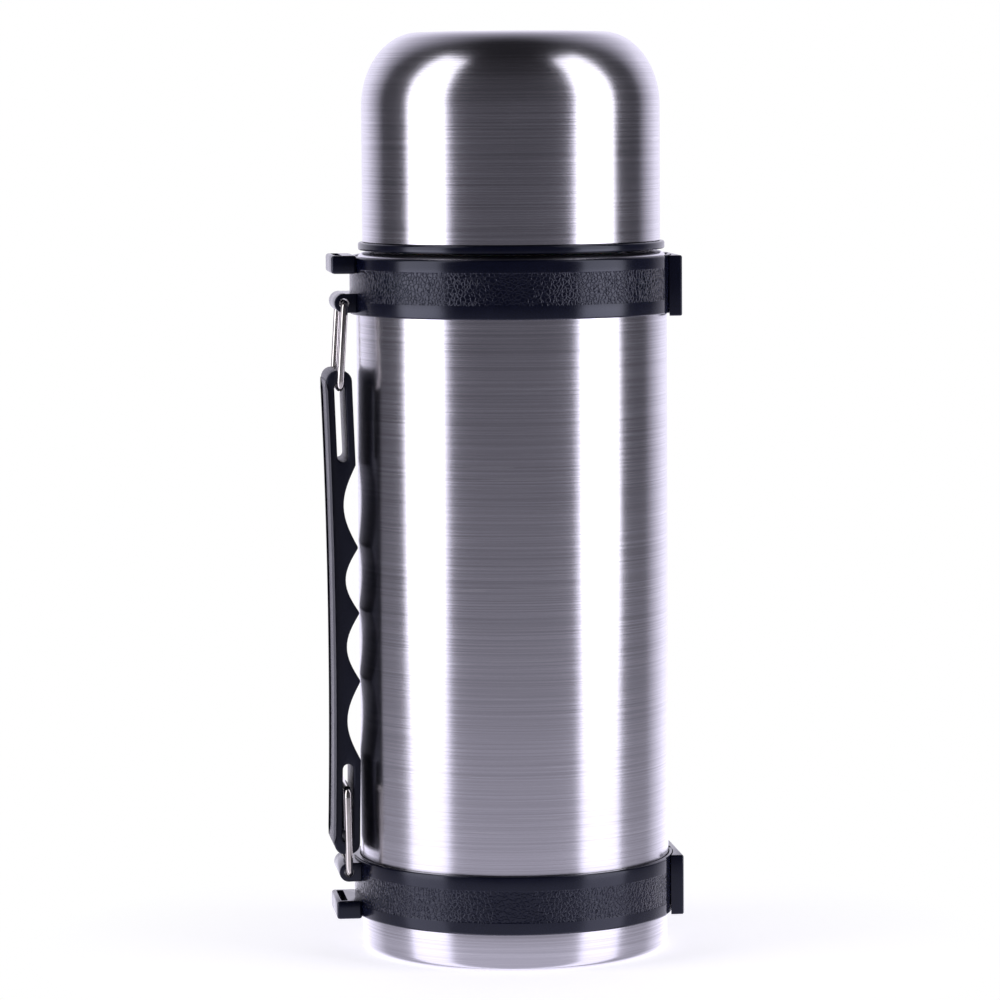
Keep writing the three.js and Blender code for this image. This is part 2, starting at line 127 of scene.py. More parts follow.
def pick(piece, test):
    """In edit mode, selects only the faces whose centre (in millimetres) and normal pass the test."""
    bpy.ops.mesh.select_all(action="DESELECT")
    bpy.ops.mesh.select_mode(type="FACE")
    mesh = bmesh.from_edit_mesh(piece.data)
    for face in mesh.faces:
        if test(face.calc_center_median() / MM, face.normal):
            face.select_set(True)
    bmesh.update_edit_mesh(piece.data)


def pick_edges(piece, test):
    """In edit mode, selects only the edges whose two ends (in millimetres) pass the test."""
    bpy.ops.mesh.select_all(action="DESELECT")
    bpy.ops.mesh.select_mode(type="EDGE")
    mesh = bmesh.from_edit_mesh(piece.data)
    for edge in mesh.edges:
        a, b = (vertex.co / MM for vertex in edge.verts)
        if test(a, b):
            edge.select_set(True)
    bmesh.update_edit_mesh(piece.data)


def close_up(threshold=MERGE):
    """In edit mode, merges doubled points and turns every face outwards."""
    bpy.ops.mesh.select_all(action="SELECT")
    bpy.ops.mesh.remove_doubles(threshold=threshold)
    bpy.ops.mesh.normals_make_consistent(inside=False)


def cap_ends(sides):
    """In edit mode, closes the open ends of a bar and turns every face outwards."""
    bpy.ops.mesh.select_all(action="SELECT")
    bpy.ops.mesh.fill_holes(sides=sides)
    bpy.ops.mesh.select_all(action="SELECT")
    bpy.ops.mesh.normals_make_consistent(inside=False)


def set_down(piece, place, lean=0.0):
    """Leans the piece about Y and moves it to a place in metres, in its mesh and not its object."""
    make_active(piece)
    piece.rotation_euler = (0, lean, 0)
    piece.location = place
    bpy.ops.object.transform_apply(location=True, rotation=True, scale=False)


def arc(centre, across, up, start, end, steps=8):
    """Points of an elliptical arc in the (radius, height) plane; angles in degrees."""
    points = []
    for i in range(steps + 1):
        angle = math.radians(start + (end - start) * i / steps)
        points.append((centre[0] + across * math.cos(angle), centre[1] + up * math.sin(angle)))
    return points


def rounded(corners, closed=True, steps=4):
    """Turns corners (radius, height, fillet) into an outline whose corners are arcs."""
    outline = []
    count = len(corners)
    nearly_straight = math.radians(89)
    for i, (r, z, fillet) in enumerate(corners):
        here = Vector((r, z))
        is_end = not closed and i in (0, count - 1)
        if fillet <= 0 or is_end:
            outline.append((r, z))
            continue
        back = (Vector(corners[i - 1][:2]) - here).normalized()
        on = (Vector(corners[(i + 1) % count][:2]) - here).normalized()
        half = back.angle(on) / 2
        if half > nearly_straight:
            outline.append((r, z))
            continue
        centre = here + (back + on).normalized() * (fillet / math.sin(half))
        start = here + back * (fillet / math.tan(half)) - centre
        end = here + on * (fillet / math.tan(half)) - centre
        for k in range(steps + 1):
            spoke = start.slerp(end, k / steps).normalized() * fillet
            outline.append(tuple(centre + spoke))
    return outline


def chain(name, points):
    """Draws a chain of edges by extruding one vertex from point to point; leaves edit mode on."""
    clear_selection()
    bpy.ops.mesh.primitive_plane_add(size=MM, location=(0, 0, 0))
    piece = named(name)
    bpy.ops.object.mode_set(mode="EDIT")
    bpy.ops.mesh.select_mode(type="VERT")
    bpy.ops.mesh.select_all(action="SELECT")
    bpy.ops.mesh.merge(type="CENTER")
    bpy.ops.mesh.select_all(action="SELECT")
    bpy.ops.transform.translate(value=points[0] * MM)
    for last, point in zip(points, points[1:]):
        step = (point - last) * MM
        bpy.ops.mesh.extrude_region_move(TRANSFORM_OT_translate={"value": step})
    return piece


def turned(name, outline, sides=160, closed=True):
    """A turned piece: the outline of (radius, height) points spun round the flask's axis."""
    points = [Vector((r, 0.0, z)) for r, z in outline]
    if closed:
        points.append(points[0])
    piece = chain(name, points)
    bpy.ops.mesh.select_all(action="SELECT")
    bpy.ops.mesh.spin(steps=sides, angle=2 * math.pi, center=(0, 0, 0), axis=AXIS)
    close_up()
    done()
    return piece


def block(name, corner, opposite, fillet=0.0, segments=3):
    """A box between two corners in millimetres, with all its edges rounded."""
    first, last = Vector(corner), Vector(opposite)
    clear_selection()
    bpy.ops.mesh.primitive_cube_add(size=1.0, location=(first + last) * MM / 2, scale=(last - first) * MM)
    piece = named(name)
    bpy.ops.object.transform_apply(location=True, rotation=True, scale=True)
    if fillet > 0:
        edit(piece)
        bpy.ops.mesh.select_all(action="SELECT")
        bpy.ops.mesh.bevel(offset=fillet * MM, segments=segments, affect="EDGES")
        done()
    return piece


def cross_rod(name, centre, r, length, sides=48):
    """A rod along Y."""
    clear_selection()
    bpy.ops.mesh.primitive_cylinder_add(
        vertices=sides,
        radius=r * MM,
        depth=length * MM,
        location=Vector(centre) * MM,
        rotation=(math.pi / 2, 0, 0),
    )
    piece = named(name)
    bpy.ops.object.transform_apply(location=True, rotation=True, scale=True)
    return piece


def combine(piece, tool, operation):
    """Joins the tool to the piece, or cuts it away, and removes the tool."""
    make_active(piece)
    modifier = piece.modifiers.new(operation.title(), "BOOLEAN")
    modifier.operation = operation
    modifier.solver = "EXACT"
    modifier.object = tool
    bpy.ops.object.modifier_apply(modifier=modifier.name)
    bpy.data.objects.remove(tool)


def join(piece, tool):
    combine(piece, tool, "UNION")


def cut(piece, tool):
    combine(piece, tool, "DIFFERENCE")


def soften(piece, width, segments, limit):
    """Rounds the edges that are sharper than the limit, in degrees, by a bevel."""
    make_active(piece)
    modifier = piece.modifiers.new("Edges", "BEVEL")
    modifier.width = width * MM
    modifier.segments = segments
    modifier.limit_method = "ANGLE"
    modifier.angle_limit = math.radians(limit)
    bpy.ops.object.modifier_apply(modifier=modifier.name)


def smooth(piece, angle=35):
    make_active(piece)
    bpy.ops.object.shade_smooth_by_angle(angle=math.radians(angle))


def smooth_turned(name, corners, sides, closed=True):
    """A turned piece that needs no more work: rounded corners, and smooth between them."""
    piece = turned(name, rounded(corners, closed), sides, closed)
    smooth(piece)
    return piece


def thread(root, crest, start_turn, height, width, turns, lead):
    """One thread ridge: a tapered section wound up round the axis. It starts at a share of a turn."""
    half_root, half_crest = width * 0.5, width * 0.25
    section = [
        (root, -half_root),
        (crest, -half_crest),
        (crest, half_crest),
        (root, half_root),
    ]
    piece = chain("Ridge", [Vector((r, 0, height + z)) for r, z in section + section[:1]])
    bpy.ops.mesh.select_all(action="SELECT")
    bpy.ops.mesh.remove_doubles(threshold=MERGE)
    done()
    piece.rotation_euler.z = start_turn * 2 * math.pi
    bpy.ops.object.transform_apply(location=False, rotation=True, scale=False)
    modifier = piece.modifiers.new("Wind", "SCREW")
    modifier.angle = turns * 2 * math.pi
    modifier.screw_offset = turns * lead * MM
    modifier.steps = modifier.render_steps = round(96 * turns)
    bpy.ops.object.modifier_apply(modifier=modifier.name)
    edit(piece)
    cap_ends(sides=len(section))
    done()
    return piece


def hand_over(piece, body, nodes, materials):
    """Gives a finished piece its materials and its place in the assembly."""
    for material in materials:
        piece.data.materials.append(material)
    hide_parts(*nodes)
    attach(piece, body)
    make_active(piece)


def paint_faces(piece, index, test):
    """Gives the faces that pass the test the material in that slot."""
    edit(piece)
    pick(piece, test)
    piece.active_material_index = index
    bpy.ops.object.material_slot_assign()
    done()


# Shader tools


class Nodes:
    """A short way to add and link shader nodes in one tree."""

    def __init__(self, tree):
        self.tree = tree

    def add(self, kind, inputs=None, **settings):
        node = self.tree.nodes.new(kind)
        for key, value in settings.items():
            setattr(node, key, value)
        for key, value in (inputs or {}).items():
            self.feed(node, key, value)
        return node

    def feed(self, node, key, value):
        socket = node.inputs[key]
        if isinstance(value, bpy.types.NodeSocket):
            self.tree.links.new(value, socket)
        else:
            socket.default_value = value

    def maths(self, operation, *values):
        return self.add("ShaderNodeMath", dict(enumerate(values)), operation=operation).outputs[0]

    def vector_maths(self, operation, *values):
        return self.add("ShaderNodeVectorMath", dict(enumerate(values)), operation=operation)

    def ranged(self, value, from_low, from_high, to_low, to_high):
        limits = {"From Min": from_low, "From Max": from_high, "To Min": to_low, "To Max": to_high}
        return self.add("ShaderNodeMapRange", {"Value": value, **limits}).outputs["Result"]

    def noise(self, vector, scale, detail, roughness=0.5):
        node = self.add("ShaderNodeTexNoise", {"Vector": vector, "Scale": scale})
        self.feed(node, "Detail", detail)
        self.feed(node, "Roughness", roughness)
        return node.outputs[0]

    def bump(self, height, strength, distance):
        values = {"Height": height, "Strength": strength, "Distance": distance}
        return self.add("ShaderNodeBump", values).outputs[0]

    def mix(self, factor, a, b):
        """Mixes two colours."""
        node = self.add("ShaderNodeMix", data_type="RGBA")
        self.feed(node, "Factor", factor)
        self.feed(node, 6, a)
        self.feed(node, 7, b)
        return node.outputs[2]


def new_group(name, inputs, outputs):
    """An empty shader group with named sockets."""
    group = bpy.data.node_groups.new(name, "ShaderNodeTree")
    for label, kind, default in inputs:
        socket = group.interface.new_socket(name=label, in_out="INPUT", socket_type=kind)
        if default is not None:
            socket.default_value = default
    for label, kind in outputs:
        group.interface.new_socket(name=label, in_out="OUTPUT", socket_type=kind)
    nodes = Nodes(group)
    return group, nodes, nodes.add("NodeGroupInput"), nodes.add("NodeGroupOutput")


def brushed_grain():
    """Fine scratches that run round the axis, as on steel brushed on a lathe."""
    group, n, given, out = new_group(
        "Brushed grain",
        [
            ("Vector", "NodeSocketVector", None),
            ("Around", "NodeSocketFloat", 9.0),
            ("Across", "NodeSocketFloat", 2600.0),
        ],
        [("Height", "NodeSocketFloat"), ("Clouds", "NodeSocketFloat")],
    )
    place = given.outputs["Vector"]
    parts = n.add("ShaderNodeSeparateXYZ", {"Vector": place})
    x, y, z = parts.outputs
    spread = n.maths("SQRT", n.maths("ADD", n.maths("MULTIPLY", x, x), n.maths("MULTIPLY", y, y)))
    along = n.maths("SUBTRACT", z, spread)
    around = given.outputs["Around"]
    across = given.outputs["Across"]
    lines = n.add(
        "ShaderNodeCombineXYZ",
        {
            "X": n.maths("MULTIPLY", x, around),
            "Y": n.maths("MULTIPLY", y, around),
            "Z": n.maths("MULTIPLY", along, across),
        },
    ).outputs[0]
    fine = n.noise(lines, 1.0, detail=3.0, roughness=0.6)
    wide = n.noise(lines, 0.16, detail=3.0, roughness=0.6)
    clouds = n.noise(place, 26.0, detail=3.0, roughness=0.6)
    n.feed(out, "Height", n.maths("ADD", n.maths("MULTIPLY", fine, 0.8), n.maths("MULTIPLY", wide, 0.2)))
    n.feed(out, "Clouds", clouds)
    return group


def moulded_grain():
    """The leather-like grain of moulded plastic: rounded cells with creases between them."""
    group, n, given, out = new_group(
        "Moulded grain",
        [("Vector", "NodeSocketVector", None), ("Scale", "NodeSocketFloat", 900.0)],
        [("Height", "NodeSocketFloat"), ("Creases", "NodeSocketFloat")],
    )
    place, scale = given.outputs["Vector"], given.outputs["Scale"]
    broad = n.maths("MULTIPLY", scale, 0.6)
    wander = n.add("ShaderNodeTexNoise", {"Vector": place, "Scale": broad, "Detail": 2.0})
    shift = 0.0012
    shifted = n.add("ShaderNodeMix", {0: shift, 4: place, 5: wander.outputs["Color"]}, data_type="VECTOR")
    cells = n.add(
        "ShaderNodeTexVoronoi", {"Vector": shifted.outputs[1], "Scale": scale}, feature="DISTANCE_TO_EDGE"
    )
    creases = n.ranged(cells.outputs["Distance"], 0.0, 0.16, 0.0, 1.0)
    pits = n.noise(place, n.maths("MULTIPLY", scale, 1.7), detail=3.0)
    n.feed(out, "Height", n.maths("ADD", creases, n.maths("MULTIPLY", pits, 0.5)))
    n.feed(out, "Creases", creases)
    return group


def handling_marks():
    """Soft smudges and a few fine scratches from use."""
    group, n, given, out = new_group(
        "Handling marks",
        [("Vector", "NodeSocketVector", None), ("Scale", "NodeSocketFloat", 40.0)],
        [("Smudges", "NodeSocketFloat"), ("Scratches", "NodeSocketFloat")],
    )
    smudges = n.noise(given.outputs["Vector"], given.outputs["Scale"], detail=5.0, roughness=0.6)
    slanted = n.add(
        "ShaderNodeMapping",
        {"Vector": given.outputs["Vector"], "Rotation": (0.3, 0.7, 0.5), "Scale": (30.0, 30.0, 900.0)},
    )
    hairs = n.noise(slanted.outputs[0], 1.0, detail=1.0)
    n.feed(out, "Smudges", n.ranged(smudges, 0.35, 0.7, 0.0, 1.0))
    n.feed(out, "Scratches", n.ranged(hairs, 0.71, 0.74, 0.0, 1.0))
    return group


def studio_pattern():
    """How bright the studio is in each direction: dim in front, strips at the sides, white behind.

    Directions are told apart by their facing, the cosine of their level angle from the camera's side.
    """
    group, n, given, out = new_group(
        "Studio pattern",
        [
            ("Vector", "NodeSocketVector", None),
            ("Towards", "NodeSocketVector", None),
            ("Front", "NodeSocketFloat", 0.1),
            ("Strips", "NodeSocketFloat", 0.0),
        ],
        [("Level", "NodeSocketFloat")],
    )
    flat = n.vector_maths("MULTIPLY", given.outputs["Vector"], (1.0, 1.0, 0.0)).outputs[0]
    unit = n.vector_maths("NORMALIZE", flat).outputs[0]
    facing = n.vector_maths("DOT_PRODUCT", unit, given.outputs["Towards"]).outputs["Value"]
    behind = n.ranged(facing, -0.45, -0.85, 0.0, 1.0)
    inner = n.ranged(facing, 0.70, 0.62, 0.0, 1.0)
    outer = n.ranged(facing, 0.06, 0.12, 0.0, 1.0)
    strips = n.maths("MULTIPLY", n.maths("MULTIPLY", inner, outer), given.outputs["Strips"])
    front = n.maths("MULTIPLY", given.outputs["Front"], n.ranged(facing, 0.1, -0.1, 1.0, 0.8))
    n.feed(out, "Level", n.maths("MAXIMUM", n.maths("ADD", front, behind), strips))
    return group


GROUP_MAKERS = {
    "brush": brushed_grain,
    "grain": moulded_grain,
    "marks": handling_marks,
    "studio": studio_pattern,
}
GROUPS = {}


def shared(label):
    """The shared node group of that name, made the first time it is asked for."""
    if label not in GROUPS:
        GROUPS[label] = GROUP_MAKERS[label]()
    return GROUPS[label]


def start_material(name):
    """A new material with its shader, and object coordinates to build patterns on."""
    material = bpy.data.materials.new(name)
    material.use_nodes = True
    n = Nodes(material.node_tree)
    shader = material.node_tree.nodes["Principled BSDF"]
    place = n.add("ShaderNodeTexCoord").outputs["Object"]
    return material, n, shader, place


def use_group(n, label, inputs):
    """Places a shared group in a tree."""
    node = n.add("ShaderNodeGroup", node_tree=shared(label))
    for key, value in inputs.items():
        n.feed(node, key, value)
    return node


def opaque(colour, share=1.0):
    """The colour darkened to that share, with full alpha."""
    return (*[channel * share for channel in colour], 1.0)


def brushed_steel(name, colour, roughness, depth):
    """Steel brushed round the flask's axis."""
    material, n, shader, place = start_material(name)
    grain = use_group(n, "brush", {"Vector": place})
    marks = use_group(n, "marks", {"Vector": place})
    height = grain.outputs["Height"]
    lines = n.mix(n.ranged(height, 0.35, 0.62, 0.0, 1.0), opaque(colour, 0.79), opaque(colour))
    scratched = n.maths("MULTIPLY", marks.outputs["Scratches"], 0.25)
    n.feed(shader, "Base Color", n.mix(scratched, lines, (0.9, 0.9, 0.92, 1)))
    rough = n.ranged(height, 0.3, 0.7, roughness - 0.02, roughness + 0.03)
    cloudy = n.maths("MULTIPLY", marks.outputs["Smudges"], 0.025)
    n.feed(shader, "Roughness", n.maths("ADD", rough, cloudy))
    n.feed(shader, "Normal", n.bump(height, 0.5, depth))
    n.feed(shader, "Metallic", 1.0)
    n.feed(shader, "Anisotropic", 0.55)
    n.feed(shader, "Anisotropic Rotation", 0.25)
    n.feed(shader, "Tangent", n.add("ShaderNodeTangent", direction_type="RADIAL", axis="Z").outputs[0])
    return material


def drawn_steel(name, colour, roughness):
    """Plain steel with drawing lines, for the inside."""
    material, n, shader, place = start_material(name)
    grain = use_group(n, "brush", {"Vector": place, "Around": 20.0, "Across": 900.0})
    height = grain.outputs["Height"]
    n.feed(shader, "Base Color", n.mix(grain.outputs["Clouds"], opaque(colour, 0.85), opaque(colour)))
    n.feed(shader, "Roughness", n.ranged(height, 0.3, 0.7, roughness - 0.05, roughness + 0.08))
    n.feed(shader, "Normal", n.bump(height, 0.25, 0.00002))
    n.feed(shader, "Metallic", 1.0)
    return material


def smudged(name, marks_scale, clean, worn, rough_clean, rough_worn):
    """The start of a plain finish whose colour and roughness change where it is smudged."""
    material, n, shader, place = start_material(name)
    smudges = use_group(n, "marks", {"Vector": place, "Scale": marks_scale}).outputs["Smudges"]
    n.feed(shader, "Base Color", n.mix(smudges, opaque(clean), opaque(worn)))
    n.feed(shader, "Roughness", n.ranged(smudges, 0.0, 1.0, rough_clean, rough_worn))
    return material, n, shader, smudges


def plated_wire(name):
    """Bright plated wire."""
    material, n, shader, smudges = smudged(name, 300.0, (0.80, 0.77, 0.73), (0.68, 0.64, 0.58), 0.06, 0.14)
    n.feed(shader, "Metallic", 1.0)
    return material


def moulded_plastic(name, colour, roughness, grain_scale=None, grain_depth=0.00001):
    """Moulded plastic, smooth or grained."""
    material, n, shader, place = start_material(name)
    smudges = use_group(n, "marks", {"Vector": place, "Scale": 60.0}).outputs["Smudges"]
    if grain_scale:
        grain = use_group(n, "grain", {"Vector": place, "Scale": grain_scale})
        height = grain.outputs["Height"]
        paler = n.maths("MULTIPLY", n.maths("SUBTRACT", 1.0, grain.outputs["Creases"]), 0.5)
    else:
        height = n.noise(place, 420.0, detail=2.0)
        paler = n.maths("MULTIPLY", smudges, 0.6)
    pale = [channel * 1.5 + 0.004 for channel in colour]
    n.feed(shader, "Base Color", n.mix(paler, opaque(colour), opaque(pale)))
    n.feed(shader, "Roughness", n.ranged(smudges, 0.0, 1.0, roughness, roughness + 0.06))
    n.feed(shader, "Normal", n.bump(height, 0.8, grain_depth))
    n.feed(shader, "Specular Tint", (0.82, 0.86, 1.0, 1.0))
    return material


def soft_silicone(name):
    """Off-white rubber, a little see-through at the surface."""
    material, n, shader, smudges = smudged(name, 200.0, (0.80, 0.79, 0.75), (0.72, 0.71, 0.66), 0.45, 0.6)
    n.feed(shader, "Subsurface Weight", 0.2)
    n.feed(shader, "Subsurface Scale", 0.002)
    return material


def beaded_foam(name):
    """Foam of pressed beads."""
    material, n, shader, place = start_material(name)
    beads = n.add("ShaderNodeTexVoronoi", {"Vector": place, "Scale": 420.0}).outputs["Distance"]
    n.feed(shader, "Base Color", n.mix(beads, (0.92, 0.91, 0.87, 1), (0.80, 0.79, 0.74, 1)))
    n.feed(shader, "Roughness", n.ranged(beads, 0.0, 1.0, 0.8, 0.95))
    n.feed(shader, "Normal", n.bump(beads, 0.6, 0.0003))
    return material


def worn_metal(name, colour, roughness):
    """Small hidden metal pieces: foil, getter and braze."""
    worn = [channel * 0.7 for channel in colour]
    material, n, shader, smudges = smudged(name, 90.0, colour, worn, roughness, roughness + 0.2)
    n.feed(shader, "Normal", n.bump(smudges, 0.3, 0.0001))
    n.feed(shader, "Metallic", 1.0)
    return material


# Settings a user would change


class FlaskFinish(bpy.types.PropertyGroup):
    steel: bpy.props.FloatVectorProperty(
        name="Steel",
        description="Colour of the brushed steel",
        subtype="COLOR",
        size=3,
        default=(0.70, 0.69, 0.74),
    )
    steel_roughness: bpy.props.FloatProperty(
        name="Steel roughness",
        description="How blurred the steel's reflections are",
        subtype="FACTOR",
        default=0.2,
        min=0.05,
        max=0.8,
    )
    plastic: bpy.props.FloatVectorProperty(
        name="Plastic",
        description="Colour of the bands and handle",
        subtype="COLOR",
        size=3,
        default=(0.002, 0.0028, 0.011),
    )


class FlaskSizes(bpy.types.PropertyGroup):
    sheet: bpy.props.FloatProperty(
        name="Sheet thickness",
        description="Wall of the outer shell, in millimetres",
        default=0.6,
        min=0.3,
        max=1.5,
    )
    grain_depth: bpy.props.FloatProperty(
        name="Grain recess",
        description="Depth of the grained strip, in millimetres",
        default=0.07,
        min=0.0,
        max=0.5,
    )
    grip_fillet: bpy.props.FloatProperty(
        name="Grip fillet",
        description="Rounding of the handle's edges, in millimetres",
        default=0.55,
        min=0.1,
        max=1.0,
    )


class FlaskStage(bpy.types.PropertyGroup):
    azimuth: bpy.props.FloatProperty(
        name="Azimuth",
        description="Camera's turn round the flask",
        subtype="ANGLE",
        default=math.radians(-6.5),
    )
    distance: bpy.props.FloatProperty(
        name="Distance",
        description="Camera's distance from the axis",
        unit="LENGTH",
        default=1.5076,
    )
    height: bpy.props.FloatProperty(
        name="Height",
        description="Camera's height above the floor",
        unit="LENGTH",
        default=0.2809,
    )
    lens: bpy.props.FloatProperty(
        name="Lens",
        description="Focal length of the camera",
        unit="CAMERA",
        default=168.5,
    )
    strip_power: bpy.props.FloatProperty(
        name="Strip lights",
        description="Power of each tall strip light, in watts",
        default=4.9,
    )


def finish():
    return bpy.context.scene.flask_finish


def sizes():
    return bpy.context.scene.flask_sizes


def once(name, make, *values):
    """The material of that name, made the first time it is asked for."""
    return bpy.data.materials.get(name) or make(name, *values)


def steel_material():
    brush_depth = 0.00002
    return once("Brushed steel", brushed_steel, finish().steel, finish().steel_roughness, brush_depth)


def inside_steel():
    return once("Drawn steel", drawn_steel, (0.62, 0.62, 0.63), 0.3)


def wire_material():
    return once("Plated wire", plated_wire)


def silicone():
    return once("Silicone", soft_silicone)


def plastic(name, roughness, lift=0.0, **grain):
    """One of the black plastics. Lift makes it paler than the colour in the settings."""
    colour = [channel + lift for channel in finish().plastic]
    made = bpy.data.materials.get(name)
    return made or moulded_plastic(name, colour, roughness, **grain)


def band_gloss():
    return plastic("Band gloss", 0.16)


def band_grain():
    return plastic("Band grain", 0.14, grain_scale=820.0, grain_depth=0.00008)


def grip_satin():
    return plastic("Grip satin", 0.38, lift=0.001, grain_scale=1500.0, grain_depth=0.00003)


def grip_grain():
    return plastic("Grip grain", 0.36, lift=0.008, grain_scale=800.0, grain_depth=0.00010)


def collar_satin():
    return plastic("Collar satin", 0.3, lift=0.004)


def stopper_grey():
    return once("Stopper grey", moulded_plastic, (0.075, 0.08, 0.09), 0.34)


# Pieces


class FlaskOperator(bpy.types.Operator):
    bl_options = {"REGISTER", "UNDO"}

    def execute(self, context):
        self.make(context)
        return {"FINISHED"}


class OBJECT_OT_flask_shell(FlaskOperator):
    """Model the outer wall and the base cover"""

    bl_idname = "object.flask_shell"
    bl_label = "Shell and base"

    def make(self, context):
        self.shell()
        self.base()

    def shell(self):
        """The wall and shoulder, as thick as the sheet, with a short neck."""
        r = radius("outer_shell")
        bottom, top = low("outer_shell").z, high("outer_shell").z
        wall = sizes().sheet
        shoulder = top - 14
        neck = 30.4
        bays = 26  # rings up the long wall keep its shading even
        rings = [bottom + (shoulder - bottom) * i / bays for i in range(1, bays)]
        corners = [
            (r, bottom, 0.2),
            *[(r, z, 0) for z in rings],
            (r, shoulder, 3.0),
            (neck, shoulder, 1.2),
            (neck, top, 0.2),
            (neck - wall, top, 0.2),
            (neck - wall, shoulder - wall, 2.0),
            (r - wall, shoulder - wall, 2.2),
            (r - wall, bottom, 0.2),
        ]
        piece = smooth_turned("Outer shell", corners, sides=192)
        hand_over(piece, "flask_body", ["outer_shell"], [steel_material()])

    def base(self):
        """A shallow cup over the wall's end. It stands on a ring near its edge."""
        r = radius("base_cover")
        top = high("base_cover").z
        corners = [
            (0, 0.6, 0),
            (12, 0.6, 0.3),
            (13, 0.9, 0.3),
            (30, 0.9, 0.3),
            (31, 0.6, 0.3),
            (39.5, 0.6, 0.5),
            (41, 0, 0.6),
            (r, 0, 2.6),
            (r, top - 3.1, 0.3),
            (r - 1.6, top - 2.5, 0.2),
            (r - 1.6, top, 0.2),
            (r - 2.4, top, 0.2),
            (r - 2.4, top - 3.2, 0.2),
            (r - 0.8, top - 3.8, 0.3),
            (r - 0.8, 0.8, 1.8),
            (41, 0.8, 0.3),
            (39.5, 1.4, 0.3),
            (0, 1.4, 0),
        ]
        piece = smooth_turned("Base cover", corners, sides=192, closed=False)
        hand_over(piece, "flask_body", ["base_cover"], [steel_material()])


class OBJECT_OT_flask_cup(FlaskOperator):
    """Model the cup: its steel outside, plastic inside and rim"""

    bl_idname = "object.flask_cup"
    bl_label = "Cup"

    corner_across = 18.4
    corner_up = 23.6
    straight_to_top = 24.0
    wall = 0.7
    liner_out = 1.05
    liner_in = 2.15

    def make(self, context):
        self.steel()
        self.liner()
        self.rim()

    def dome(self, inset, bottom, steps):
        """The outline of the dome at an inset from its outside, from its mouth to the axis."""
        r = radius("cup_shell") - inset
        top = high("cup_shell").z - inset
        across = self.corner_across - 0.4 * inset
        up = self.corner_up - inset
        corner_z = high("cup_shell").z - self.straight_to_top
        return [
            (r, bottom),
            *arc((r - across, corner_z), across, up, 0, 86, steps),
            ((r - across) * 0.72, top - 0.16),
            ((r - across) * 0.35, top - 0.04),
            (0, top),
        ]

    def steel(self):
        bottom = low("cup_shell").z
        outside = self.dome(0, bottom, 28)
        inside = self.dome(self.wall, bottom, 28)
        piece = turned("Cup shell", outside + inside[::-1], sides=192, closed=False)
        edit(piece)
        bpy.ops.mesh.select_all(action="SELECT")
        bpy.ops.mesh.remove_doubles(threshold=MERGE)
        done()
        close_mouth(piece, bottom)
        smooth(piece)
        hand_over(piece, "cup", ["cup_shell"], [steel_material()])

    def liner(self):
        bottom = low("cup_liner").z
        outside = self.dome(self.liner_out, bottom, 16)
        inside = self.dome(self.liner_in, bottom, 16)
        piece = turned("Cup liner", outside + inside[::-1], sides=128, closed=False)
        close_mouth(piece, bottom)
        root = radius("cup_shell") - self.liner_in + 0.5
        for start in (0.0, 0.5):
            join(piece, thread(root, 44.2, start, bottom + 1, **CUP_THREAD))
        smooth(piece)
        hand_over(piece, "cup", ["cup_liner"], [collar_satin()])

    def rim(self):
        r = radius("cup_rim")
        bottom, top = low("cup_rim").z, high("cup_rim").z
        corners = [
            (46.0, bottom, 0.2),
            (r, bottom, 0.55),
            (r, top, 0.7),
            (r - 1.3, top, 0.15),
            (46.0, top, 0.15),
        ]
        piece = smooth_turned("Cup rim", corners, sides=160)
        hand_over(piece, "cup_ring", ["cup_rim"], [band_gloss()])


def close_mouth(piece, height):
    """Joins the two open edges at the mouth of a double outline."""
    edit(piece)
    pick_edges(piece, lambda a, b: abs(a.z - height) < 0.01 and abs(b.z - height) < 0.01)
    bpy.ops.mesh.bridge_edge_loops()
    bpy.ops.mesh.select_all(action="SELECT")
    bpy.ops.mesh.normals_make_consistent(inside=False)
    done()


